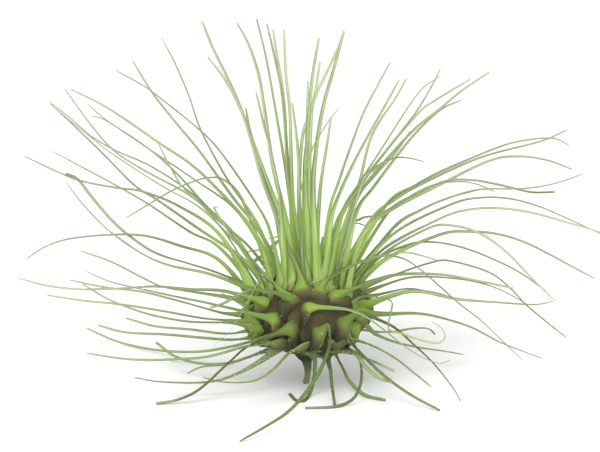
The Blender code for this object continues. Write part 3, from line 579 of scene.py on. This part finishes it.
def from_front(across, down, depth):
    """The point seen there in the front view, standing depth in front of the stem."""
    right, up = picture_of(across, down)
    middle_right, middle_up = picture_of(MIDDLE_ACROSS, MIDDLE_DOWN)
    nearer = 1 - depth / VIEW_DISTANCE
    right = middle_right + (right - middle_right) * nearer
    up = middle_up + (up - middle_up) * nearer
    return Vector((right, up * SIN_RISE - depth * COS_RISE, up * COS_RISE + depth * SIN_RISE))


def tip_depth(across, down, behind):
    """How far in front of the stem a tip lies, from how far behind it or from its rest on the ground."""
    up = picture_of(across, down)[1]
    middle_up = picture_of(MIDDLE_ACROSS, MIDDLE_DOWN)[1]
    shrink = (up - middle_up) / VIEW_DISTANCE
    if behind is GROUND:
        return (LOWEST - up * COS_RISE) / (SIN_RISE - shrink * COS_RISE)
    return (up * SIN_RISE - behind) / (COS_RISE + shrink * SIN_RISE)


def bulb_share(point):
    """1 on the bulb's surface, less inside it and more outside."""
    away = point - BULB_MIDDLE
    flat = (away.x ** 2 + away.y ** 2) / BULB_RADIUS ** 2
    return math.sqrt(flat + away.z ** 2 / BULB_HALF_HEIGHT ** 2)


def bulb_normal(point):
    """The direction straight out of the bulb there."""
    away = point - BULB_MIDDLE
    flat = 1 / BULB_RADIUS ** 2
    return Vector((away.x * flat, away.y * flat, away.z / BULB_HALF_HEIGHT ** 2)).normalized()


def on_bulb(point, height):
    """The point of the bulb's surface in line with this one, raised by the height."""
    spot = BULB_MIDDLE + (point - BULB_MIDDLE) / bulb_share(point)
    return spot + bulb_normal(spot) * height


def bulb_point(across, down, in_front):
    """The point of the bulb's surface seen there, on its near side or its far side."""
    inner = 0.0
    outer = (1 if in_front else -1) * 2 * BULB_RADIUS
    start = from_front(across, down, 0)
    if bulb_share(start) > 1:
        inner = start.y * COS_RISE - (start.z - BULB_MIDDLE.z) * SIN_RISE
    for _ in range(HALVINGS):
        middle = (inner + outer) / 2
        if bulb_share(from_front(across, down, middle)) < 1:
            inner = middle
        else:
            outer = middle
    found = from_front(across, down, inner)
    return BULB_MIDDLE + (found - BULB_MIDDLE) / bulb_share(found)


def crown_root(across, behind):
    """A root on top of the bulb, nearer the side that its leaf leans to."""
    right = picture_of(across, CROWN_DOWN)[0]
    back = CROWN_MIDDLE + CROWN_LEAN * max(behind, CROWN_FOREMOST)
    height = math.sqrt(max(1 - (right ** 2 + back ** 2) / BULB_RADIUS ** 2, 0)) * BULB_HALF_HEIGHT
    return BULB_MIDDLE + Vector((right, back, height))


def seen_route(name, behind, points):
    """The line in space of a leaf of the tables, from root to tip."""
    order = list(reversed(points))
    far = tip_depth(*order[-1], behind)
    if order[0][1] <= CROWN_DOWN:
        root = crown_root(order[0][0], behind)
    else:
        root = bulb_point(*order[0], behind is GROUND or behind < 0 or name in NEAR_ROOTS)
    near = root.z * SIN_RISE - root.y * COS_RISE
    runs = [0.0]
    for a, b in zip(order, order[1:]):
        runs.append(runs[-1] + math.dist(a, b))
    route = [root]
    for spot, run in zip(order[1:], runs[1:]):
        depth = near + (far - near) * run / runs[-1]
        if from_front(*spot, depth).z < LOWEST:
            depth = tip_depth(*spot, GROUND)
        route.append(from_front(*spot, depth))
    return route


def backward(turn):
    """The level direction that many degrees to one side of straight back."""
    return Vector((-math.sin(math.radians(turn)), math.cos(math.radians(turn)), 0))


def hidden_route(index):
    """The line of a leaf behind the bulb: out, up a little, and over."""
    share_round = (index * GOLDEN_SHARE) % 1 * 2 - 1
    start_out = backward(HIDDEN_ROOT_TURN * share_round)
    out = backward(HIDDEN_TURN * share_round)
    rise = index / (HIDDEN_LEAVES - 1)
    slope = math.radians(between(HIDDEN_SLOPES, rise))
    root = BULB_MIDDLE + start_out * BULB_RADIUS * math.cos(slope)
    root.z += BULB_HALF_HEIGHT * math.sin(slope)
    reach = between(HIDDEN_REACHES, (2 * index * GOLDEN_SHARE) % 1)
    end = LOWEST if index in HIDDEN_ON_GROUND else between(HIDDEN_TIP_HEIGHTS, rise)
    crest = max(root.z, end) + between(HIDDEN_ARCHES, rise)
    first = root + (start_out + out) * HIDDEN_FIRST_STEP
    first.z += between(HIDDEN_FIRST_RISES, rise)
    top = out * reach * HIDDEN_CREST_SHARE + Vector((0, 0, crest))
    fall = out * reach * HIDDEN_FALL_SHARE + Vector((0, 0, (crest + end) / 2))
    return [root, first, top, fall, out * reach + Vector((0, 0, end))]


def young_route(index):
    """The line of a short young leaf in the middle of the crown, leaning a little outwards."""
    turn = YOUNG_TURN * index
    out = Vector((math.cos(turn), math.sin(turn), 0))
    root = on_bulb(YOUNG_MIDDLE + out * YOUNG_SPACING * math.sqrt(index), 0)
    height = between(YOUNG_HEIGHTS, (index * GOLDEN_SHARE) % 1)
    up = Vector((0, 0, height))
    lean = out * height * YOUNG_LEAN
    return [root, root + up * 0.5 + lean * YOUNG_BEND, root + up + lean]


def smooth_route(route):
    """Many points on one smooth curve through the route's points."""
    ends = [2 * route[0] - route[1], *route, 2 * route[-1] - route[-2]]
    fine = []
    for a, b, c, d in zip(ends, ends[1:], ends[2:], ends[3:]):
        for step in range(FINE_STEPS):
            t = step / FINE_STEPS
            fine.append(0.5 * (2 * b + (c - a) * t + (2 * a - 5 * b + 4 * c - d) * t * t
                               + (3 * b - a - 3 * c + d) * t ** 3))
    fine.append(route[-1])
    return fine


def length_of(fine):
    return sum((b - a).length for a, b in zip(fine, fine[1:]))


def at_runs(fine, goals):
    """The points at the given distances along the fine route."""
    runs = [0.0]
    for a, b in zip(fine, fine[1:]):
        runs.append(runs[-1] + (b - a).length)
    points = []
    place = 0
    for goal in goals:
        while place < len(fine) - 2 and runs[place + 1] < goal:
            place += 1
        share = (goal - runs[place]) / max(runs[place + 1] - runs[place], 1e-9)
        points.append(fine[place].lerp(fine[place + 1], clamp(share)))
    return points


def ring_runs(total):
    """Distances along a leaf for its rings: close near its base, wider apart farther out."""
    near = NEAR_LENGTH + SHEATH_LENGTH
    count = max(round(near / NEAR_STEP), 2)
    runs = [min(near, total) * i / count for i in range(count)]
    if total > near:
        rest = max(round((total - near) / FAR_STEP), 2)
        runs += [near + (total - near) * i / rest for i in range(rest + 1)]
    return runs


def along_at(centres, index):
    """The line's direction at one of its points."""
    before = centres[max(index - 1, 0)]
    after = centres[min(index + 1, len(centres) - 1)]
    return (after - before).normalized()


def leaf_frames(centres, route, twist):
    """The across and outward directions at each ring, which lean to the leaf's own level."""
    keel = bulb_normal(route[0])
    lateral = Vector((0, 0, 1)).cross(Vector((route[-1].x, route[-1].y, 0)).normalized())
    frames = []
    for index in range(len(centres)):
        along = along_at(centres, index)
        level = lateral - along * lateral.dot(along)
        keel = keel - along * keel.dot(along)
        if level.length > LEAST_LEVEL:
            wanted = level.normalized().cross(along)
            keel = keel.normalized() * (1 - RELAX) + wanted * RELAX
        keel.normalize()
        turned = Matrix.Rotation(twist * index / len(centres), 3, along) @ keel
        frames.append((along.cross(turned), turned))
    return frames


def sheath_route(route, spots, drop):
    """The sheath's line up the bulb and over its shoulder, tilted to the side that its blade leaves to."""
    root = route[0]
    out = bulb_normal(root)
    up = (Vector((0, 0, 1)) - out * out.z).normalized()
    way = (route[1] - root).normalized()
    way -= out * way.dot(out)
    way /= math.sqrt(max(way.length, 1e-6))
    tilted = (up + (way - up * way.dot(up)) * SHEATH_TILT).normalized()
    return [on_bulb(root - up * drop + tilted * step, height) for step, height in spots]


def hanging_sheath(route):
    """The start of a leaf that hangs from under the bulb: out from inside it, just above its root."""
    root = route[0]
    out = bulb_normal(root)
    return [root - out * HANGING_SINK + Vector((0, 0, HANGING_RISE)), root + out * HANGING_OUT]


def crown_sheath(route):
    """The buried start of an inner leaf."""
    along = (route[1] - route[0]).normalized()
    return [route[0] - (along * SINK_ALONG + Vector((0, 0, SINK_DOWN))) * CROWN_SINK, route[0]]


def leaf_style(route, kind):
    """The start of the leaf's line, with its widths, swellings and colours."""
    if kind == YOUNG:
        return crown_sheath(route), YOUNG_HALF_WIDTHS, CROWN_SWELLINGS, CROWN_COLOURS
    way = (route[1] - route[0]).normalized()
    near = route[0].y < NEAR_SIDE
    if kind == BASE or (near and way.z < SIDEWAYS):
        hanging = route[0].z < HANGING_ROOT and way.z < HANGING_WAY
        start = hanging_sheath(route) if hanging else sheath_route(route, SHEATH_SPOTS, SHEATH_DROP)
        return start, HALF_WIDTHS, SWELLINGS, BASE_COLOURS
    if near:
        return sheath_route(route, FRONT_SPOTS, 0), FRONT_HALF_WIDTHS, FRONT_SWELLINGS, FRONT_COLOURS
    return crown_sheath(route), CROWN_HALF_WIDTHS, CROWN_SWELLINGS, CROWN_COLOURS


def leaf_taper(place, share, blunt, breadth):
    """How broad the leaf is there, as a share of its tables."""
    taper = between((at_share(TAPER, share), at_share(BLUNT_TAPER, share)), blunt)
    return taper * at_share(((-BREADTH_FROM, 1.0), (BREADTH_FROM, math.sqrt(breadth))), place)


def cross_section(half, swelling, channel):
    """Points across the leaf, as (across, outward): a swollen outer side and a channelled inner side."""
    ring = []
    for i in range(OUTER_POINTS):
        turn = math.pi * i / (OUTER_POINTS - 1)
        ring.append((half * math.cos(turn), swelling * math.sin(turn)))
    for i in range(INNER_POINTS):
        turn = math.pi * (1 - (i + 1) / (INNER_POINTS + 1))
        ring.append((half * INNER_SHARE * math.cos(turn), swelling * channel * math.sin(turn)))
    return ring


def above_ground(point, least):
    return Vector((point.x, point.y, max(point.z, least)))


Ring = namedtuple("Ring", "place centre across keel half swelling")


class Look:
    """How one leaf is coloured along its length."""

    def __init__(self, name, route, colours, crown):
        resting = route[-1].z < 2 * LOWEST
        self.colours = colours
        self.crown = crown
        self.end = LEAF_ENDS.get(name)
        self.low = clamp((LOW_ROOT - route[0].z) / LOW_SPREAD)
        self.tint = random.uniform(*TINTS) * (RESTING_TINT if resting else 1)
        self.dulling = RESTING_DULL if resting else ((0, 0), (1, 0))
        self.greener = 0 if crown else at_share(SIDE_GREEN, abs(route[0].x))

    def colour(self, place, share):
        """The colour there, with the leaf's end colour and tint; the end of top_14 is painted shade."""
        if place < 0:
            place += self.greener
        colour = at_share(self.colours, place).copy()
        if place > LOW_START:
            near = clamp((LOW_REACH - place) / LOW_REACH)
            colour = colour.lerp(LOW_GREEN, max(self.low * near * LOW_MIX, at_share(self.dulling, place)))
        colour = colour.lerp(TIP_TAN, clamp((share - TIP_FROM) / (1 - TIP_FROM)) * TIP_MIX)
        if self.end:
            tone, part = self.end
            colour = colour.lerp(tone, clamp((share - (1 - part)) / (part * END_FADE)) * clamp(place + 1))
        return colour * self.tint

    def lit_colours(self, ring, share, section):
        """The colours round a ring: painted light in the paler channel and on top, painted shade at the rims
        and underneath.
        """
        colour = self.colour(ring.place, share)
        # Painted light on sides that face up and painted shade on sides that face down, more on low leaves
        upper = between(PAINTED_TOP_LIGHT, self.low)
        lit_colours = []
        for corner, (x, y) in enumerate(section):
            facing = (ring.across * x / ring.half ** 2 + ring.keel * y / ring.swelling ** 2).normalized().z
            # Painted light in the channel, which is also paler with fuzz, and painted shade at the rims
            middle = INNER_TONE_AND_LIGHT if corner >= OUTER_POINTS else OUTER_TONE
            tone = middle + (RIM_PAINTED_SHADE - middle) * abs(x / ring.half) ** 3
            lit_colours.append(colour * tone * (1 + upper * facing))
        return lit_colours

    def fuzz(self, place):
        """How thick the silvery fuzz is there."""
        fuzz = at_share(CROWN_FUZZ, place) if self.crown else self.low * at_share(LOW_FUZZ, place)
        return max(fuzz, at_share(BLADE_FUZZ, place))


class Sweeps:
    """The points and faces of one piece, with a colour and a place on the leaf at each point."""

    def __init__(self):
        self.points = []
        self.faces = []
        self.colours = []
        self.places = []

    def add_ring(self, points, colours, places, fuzz):
        start = len(self.points)
        self.points += [tuple(point * MM) for point in points]
        self.colours += [(*colour, fuzz) for colour in colours]
        self.places += places
        return start

    def add_sweep(self, rings):
        """A closed tube through the rings, which all have as many points."""
        last = None
        for ring in rings:
            start = self.add_ring(*ring)
            count = len(self.points) - start
            if last is None:
                self.faces.append(tuple(range(start, start + count)))
            else:
                for i in range(count):
                    j = (i + 1) % count
                    self.faces.append((start + i, start + j, last + j, last + i))
            last = start
        self.faces.append(tuple(reversed(range(last, last + count))))


def add_leaf(sweeps, scales, name, route, breadth, kind):
    """One leaf, as a closed sweep from its sheath to its tip, with its scales."""
    start, widths, swellings, colours = leaf_style(route, kind)
    fine = smooth_route([*start, *route[1:]])
    sheath = length_of(smooth_route(start))
    total = length_of(fine)
    runs = ring_runs(total)
    centres = at_runs(fine, runs)
    frames = leaf_frames(centres, route, random.uniform(-MOST_TWIST, MOST_TWIST))
    look = Look(name, route, colours, kind != BASE)
    blunt = 1 if name in BLUNT_LEAVES else look.low * LOW_BLUNT
    rings = []
    skin = []
    for centre, run, (across, keel) in zip(centres, runs, frames):
        place = run - sheath
        share = max(place, 0) / (total - sheath)
        taper = leaf_taper(place, share, blunt, breadth)
        half = at_share(widths, place) * taper
        swelling = at_share(swellings, place) * taper
        ring = Ring(place, centre, across, keel, half, swelling)
        section = cross_section(half, swelling, at_share(CHANNELS, place))
        points = [above_ground(centre + across * x + keel * y, LEAST_HEIGHT) for x, y in section]
        places = [(place, x / half, look.tint) for x, _ in section]
        rings.append((points, look.lit_colours(ring, share, section), places, look.fuzz(place)))
        skin.append(ring)
    sweeps.add_sweep(rings)
    scatter_scales(scales, skin, 0 if look.crown else look.low)


def add_scale(scales, point, out, along, size):
    """One pale scale: a small flat pyramid on the skin."""
    across = along.cross(out)
    back = point - along * size * SCALE_BREADTH
    corners = [point + along * size, back + across * size * SCALE_BREADTH,
               back - across * size * SCALE_BREADTH, point + out * size * SCALE_RISE]
    start = scales.add_ring(corners, [SCALE_WHITE] * 4, [(0, 0, 1)] * 4, 0.0)
    for a, b, c in ((0, 1, 2), (0, 3, 1), (1, 3, 2), (2, 3, 0)):
        scales.faces.append((start + a, start + b, start + c))


def scatter_scales(scales, skin, low):
    """Scales at the shoulder's rims, and over the first stretch of a low leaf."""
    shoulder = [ring for ring in skin if SHOULDER_PLACES[0] < ring.place < SHOULDER_PLACES[1]]
    blade = [ring for ring in skin if LOW_PLACES[0] < ring.place < LOW_PLACES[1]]
    for index in range(SHOULDER_SCALES + round(LOW_SCALES * low)):
        at_rim = index < SHOULDER_SCALES
        ring = random.choice(shoulder if at_rim else blade)
        from_rim = random.uniform(*RIM_TURNS)
        turn = random.choice((from_rim, math.pi - from_rim)) if at_rim else random.uniform(*LOW_TURNS)
        x = math.cos(turn)
        y = math.sin(turn)
        out = (ring.across * x / ring.half + ring.keel * y / ring.swelling).normalized()
        point = ring.centre + ring.across * ring.half * x + ring.keel * ring.swelling * y
        size = between(SCALE_SIZES, random.random() ** 2)
        add_scale(scales, point, out, ring.across.cross(ring.keel), size)


def new_object(name, data):
    thing = bpy.data.objects.new(name, data)
    bpy.context.scene.collection.objects.link(thing)
    return thing


def make_piece(name, sweeps, material):
    """The mesh object of all the sweeps, with their colours and places kept on its points."""
    mesh = bpy.data.meshes.new(name)
    mesh.from_pydata(sweeps.points, [], sweeps.faces)
    solid = bmesh.new()
    solid.from_mesh(mesh)
    bmesh.ops.recalc_face_normals(solid, faces=solid.faces)
    solid.to_mesh(mesh)
    solid.free()
    tones = mesh.attributes.new("leaf_colour", "FLOAT_COLOR", "POINT")
    tones.data.foreach_set("color", [value for colour in sweeps.colours for value in colour])
    places = mesh.attributes.new("leaf_place", "FLOAT_VECTOR", "POINT")
    places.data.foreach_set("vector", [value for place in sweeps.places for value in place])
    mesh.shade_smooth()
    mesh.materials.append(material)
    piece = new_object(name, mesh)
    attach(piece, "root")
    return piece


def fill(tree, node, sources):
    """Give the node's inputs their plain values, or link them to the sockets that feed them."""
    for name, source in sources.items():
        if isinstance(source, bpy.types.NodeSocket):
            tree.links.new(source, node.inputs[name])
        else:
            node.inputs[name].default_value = source


def new_material(name, skin):
    """A material with the skin's values, as its node tree and its shader."""
    material = bpy.data.materials.new(name)
    material.use_nodes = True
    shader = material.node_tree.nodes["Principled BSDF"]
    fill(material.node_tree, shader, skin)
    return material, material.node_tree, shader


def kept_values(tree, name):
    """The node that reads the values kept on the mesh's points."""
    node = tree.nodes.new("ShaderNodeAttribute")
    node.attribute_name = name
    return node


def noise_at(tree, place, scale, detail):
    node = tree.nodes.new("ShaderNodeTexNoise")
    fill(tree, node, {"Vector": place, "Scale": scale, "Detail": detail})
    return node.outputs["Fac"]


def space_of(tree):
    """Places in the object's own space."""
    return tree.nodes.new("ShaderNodeTexCoord").outputs["Object"]


def worked(tree, operation, *terms):
    node = tree.nodes.new("ShaderNodeMath")
    node.operation = operation
    fill(tree, node, dict(enumerate(terms)))
    return node.outputs[0]


def product(tree, first, *others):
    for other in others:
        first = worked(tree, "MULTIPLY", first, other)
    return first


def eased(tree, value, span, result):
    """A value eased from the span into the range of the result."""
    node = tree.nodes.new("ShaderNodeMapRange")
    node.interpolation_type = "SMOOTHSTEP"
    fill(tree, node, {"Value": value, "From Min": span[0], "From Max": span[1],
                      "To Min": result[0], "To Max": result[1]})
    return node.outputs["Result"]


def ramp(tree, value, *stops):
    """The colour at the value between two stops, each a place and a colour."""
    node = tree.nodes.new("ShaderNodeValToRGB")
    for element, (place, colour) in zip(node.color_ramp.elements, stops):
        element.position = place
        element.color = (*colour, 1)
    fill(tree, node, {"Fac": value})
    return node.outputs["Color"]


def mixed(tree, blend, first, second, share):
    """The colour from blending the second into the first by the share."""
    node = tree.nodes.new("ShaderNodeMix")
    node.data_type = "RGBA"
    node.blend_type = blend
    fill(tree, node, {"A": first, "B": second, "Factor": share})
    return node.outputs["Result"]


def leaf_material():
    """Leaf skin: the colour kept on the points with its painted light and shade, under fine streaks, a middle
    stripe that is partly paler fuzz and partly painted highlight, a dry margin and fuzz.
    """
    material, tree, shader = new_material("leaf_skin", LEAF_SKIN)
    colour = kept_values(tree, "leaf_colour")
    parts = tree.nodes.new("ShaderNodeSeparateXYZ")
    fill(tree, parts, {"Vector": kept_values(tree, "leaf_place").outputs["Vector"]})
    place, across, tint = parts.outputs["X"], parts.outputs["Y"], parts.outputs["Z"]
    streaks = tree.nodes.new("ShaderNodeCombineXYZ")
    fill(tree, streaks, {"X": product(tree, across, STREAKS_ACROSS_SCALE),
                         "Y": product(tree, place, STREAKS_ALONG_SCALE), "Z": tint})
    grain = noise_at(tree, streaks.outputs["Vector"], *STREAKS)
    away = worked(tree, "ABSOLUTE", across)
    pale_and_lit_stripe = product(tree, eased(tree, away, *STRIPE_ACROSS), eased(tree, place, *STRIPE_ALONG),
                     eased(tree, grain, *STRIPE_GRAIN), eased(tree, tint, *STRIPE_TINTS))
    margin = product(tree, eased(tree, place, *MARGIN_START), eased(tree, place, *MARGIN_END),
                     eased(tree, away, *MARGIN_ACROSS))
    flecks = eased(tree, noise_at(tree, space_of(tree), *FLECKS), *FLECKS_SHOWN)
    skin = mixed(tree, "MULTIPLY", colour.outputs["Color"], ramp(tree, grain, *STREAK_TONES),
                 eased(tree, place, *STREAKS_ALONG))
    # The middle stripe: partly paler fuzz, partly painted highlight
    skin = mixed(tree, "MIX", skin, (*STRIPE_PALE_AND_HIGHLIGHT, 1), pale_and_lit_stripe)
    skin = mixed(tree, "MIX", skin, (*MARGIN_TAN, 1), margin)
    skin = mixed(tree, "MIX", skin, (*SCALE_WHITE, 1), product(tree, flecks, colour.outputs["Alpha"]))
    fill(tree, shader, {"Base Color": skin})
    return material


def scale_material():
    """Dry silvery scales, in the colour kept on their points."""
    material, tree, shader = new_material("dry_scale", SCALE_SKIN)
    fill(tree, shader, {"Base Color": kept_values(tree, "leaf_colour").outputs["Color"]})
    return material


def core_material():
    """The oldest sheaths: near black, with olive-brown clouds."""
    material, tree, shader = new_material("bulb_core", CORE_SKIN)
    fill(tree, shader, {"Base Color": ramp(tree, noise_at(tree, space_of(tree), *CLOUDS), *CLOUD_TONES)})
    return material


def add_core():
    """The uneven body of old sheaths that the leaf bases stand out of."""
    solid = bmesh.new()
    bmesh.ops.create_uvsphere(solid, u_segments=CORE_SEGMENTS[0], v_segments=CORE_SEGMENTS[1], radius=1)
    for vert in solid.verts:
        shaped = vert.co * (BULB_RADIUS + CORE_GROWTH)
        shaped.z = vert.co.z * (BULB_HALF_HEIGHT + CORE_GROWTH)
        shaped *= 1 + noise.noise(shaped * CORE_NOISE) * CORE_ROUGHNESS
        vert.co = (shaped + BULB_MIDDLE) * MM
    mesh = bpy.data.meshes.new("bulb_core")
    solid.to_mesh(mesh)
    solid.free()
    mesh.shade_smooth()
    mesh.materials.append(core_material())
    core = new_object("bulb_core", mesh)
    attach(core, "root")


def stem_ring(centre, along, radius):
    """Points round the stem, with low ridges and a rough skin."""
    side = (Vector((1, 0, 0)) - along * along.x).normalized()
    other = along.cross(side)
    ring = []
    for i in range(STEM_SIDES):
        turn = 2 * math.pi * i / STEM_SIDES
        point = centre + (side * math.cos(turn) + other * math.sin(turn)) * radius
        ridge = math.sin(i * STEM_RIDGES * 2 * math.pi / STEM_SIDES) * STEM_RIDGE_DEPTH
        rough = noise.noise(point * STEM_NOISE) * STEM_ROUGHNESS
        ring.append(above_ground(point + (point - centre).normalized() * (ridge + rough) * radius, 0.0))
    return ring


def add_stem():
    """The cut stem: dark and rough where it leaves the bulb, olive lower down, with a brown blunt end."""
    fine = smooth_route([Vector(place) for place in STEM_ROUTE])
    total = length_of(fine)
    count = round(total / STEM_STEP)
    runs = [total * i / count for i in range(count + 1)]
    centres = at_runs(fine, runs)
    radii = [(i / (len(STEM_RADII) - 1), radius) for i, radius in enumerate(STEM_RADII)]
    rings = []
    for index, (centre, run) in enumerate(zip(centres, runs)):
        points = stem_ring(centre, along_at(centres, index), at_share(radii, run / total))
        colour = at_share(STEM_COLOURS, run / total)
        rings.append((points, [colour] * STEM_SIDES, [(run, 0, 1)] * STEM_SIDES, 0.0))
    sweeps = Sweeps()
    sweeps.add_sweep(rings)
    stem = make_piece("stem", sweeps, leaf_material())
    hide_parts("stem_stub")


def seen_leaves(leaves):
    """The name, line, breadth and kind of each leaf of a table."""
    return [(name, seen_route(name, behind, points), breadth, CROWN if points[-1][1] <= CROWN_DOWN else BASE)
            for name, (behind, breadth, points) in leaves.items()]


def add_leaves():
    """All the leaves, in one piece for each table and each unseen kind, and the scales on them."""
    everything = LEFT_LEAVES | TOP_LEAVES | UPPER_RIGHT_LEAVES | LOWER_RIGHT_LEAVES
    shaded = {"behind_" + name: (behind, SHADED_BREADTH, everything[name][2][left_off:])
              for name, (left_off, behind) in SHADED_LEAVES.items()}
    groups = {
        "leaves_left": seen_leaves(LEFT_LEAVES),
        "leaves_top": seen_leaves(TOP_LEAVES),
        "leaves_upper_right": seen_leaves(UPPER_RIGHT_LEAVES),
        "leaves_lower_right": seen_leaves(LOWER_RIGHT_LEAVES),
        "leaves_shaded": seen_leaves(shaded),
        "leaves_back": [(f"hidden_{i}", hidden_route(i), HIDDEN_BREADTH, BASE)
                        for i in range(HIDDEN_LEAVES)],
        "leaves_young": [(f"young_{i}", young_route(i), 1.0, YOUNG) for i in range(YOUNG_LEAVES)],
    }
    material = leaf_material()
    scales = Sweeps()
    pieces = []
    for title, leaves in groups.items():
        sweeps = Sweeps()
        for leaf in leaves:
            add_leaf(sweeps, scales, *leaf)
        pieces.append(make_piece(title, sweeps, material))
    pieces.append(make_piece("skin_scales", scales, scale_material()))
    for piece in pieces:
        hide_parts("rosette")


def add_camera():
    """The front view's camera: VIEW_RISE above the level, aimed at the middle of the picture."""
    right = Vector((1, 0, 0))
    up = Vector((0, SIN_RISE, COS_RISE))
    toward = Vector((0, -COS_RISE, SIN_RISE))
    middle_right, middle_up = picture_of(MIDDLE_ACROSS, MIDDLE_DOWN)
    place = (right * middle_right + up * middle_up + toward * VIEW_DISTANCE) * MM
    lens = bpy.data.cameras.new("camera")
    lens.sensor_width = SENSOR
    lens.lens = SENSOR * VIEW_DISTANCE * UNITS_PER_MM / PICTURE_WIDTH
    camera = new_object("camera", lens)
    camera.matrix_world = Matrix.Translation(place) @ Matrix((right, up, toward)).transposed().to_4x4()
    bpy.context.scene.camera = camera


def add_floor():
    solid = bmesh.new()
    bmesh.ops.create_circle(solid, cap_ends=True, segments=FLOOR_SIDES, radius=FLOOR_RADIUS)
    mesh = bpy.data.meshes.new("floor")
    solid.to_mesh(mesh)
    solid.free()
    mesh.materials.append(new_material("floor", FLOOR_SKIN)[0])
    floor = new_object("floor", mesh)
    floor.location.z = FLOOR_HEIGHT


def add_studio():
    """A pale floor, an even white surround, and two large soft lights on the camera's side."""
    world = bpy.data.worlds.new("studio")
    bpy.context.scene.world = world
    world.use_nodes = True
    fill(world.node_tree, world.node_tree.nodes["Background"], SKY)
    add_floor()
    for name, (place, width, power) in LIGHTS.items():
        data = bpy.data.lights.new(name, "AREA")
        data.shape = "DISK"
        data.size = width
        data.energy = power
        light = new_object(name, data)
        light.location = place
        light.rotation_euler = (place - LIGHT_AIM).to_track_quat("Z", "Y").to_euler()


def main():
    random.seed(SEED)
    bpy.context.scene.view_settings.view_transform = "Standard"
    add_leaves()
    add_core()
    add_stem()
    add_camera()
    add_studio()


main()
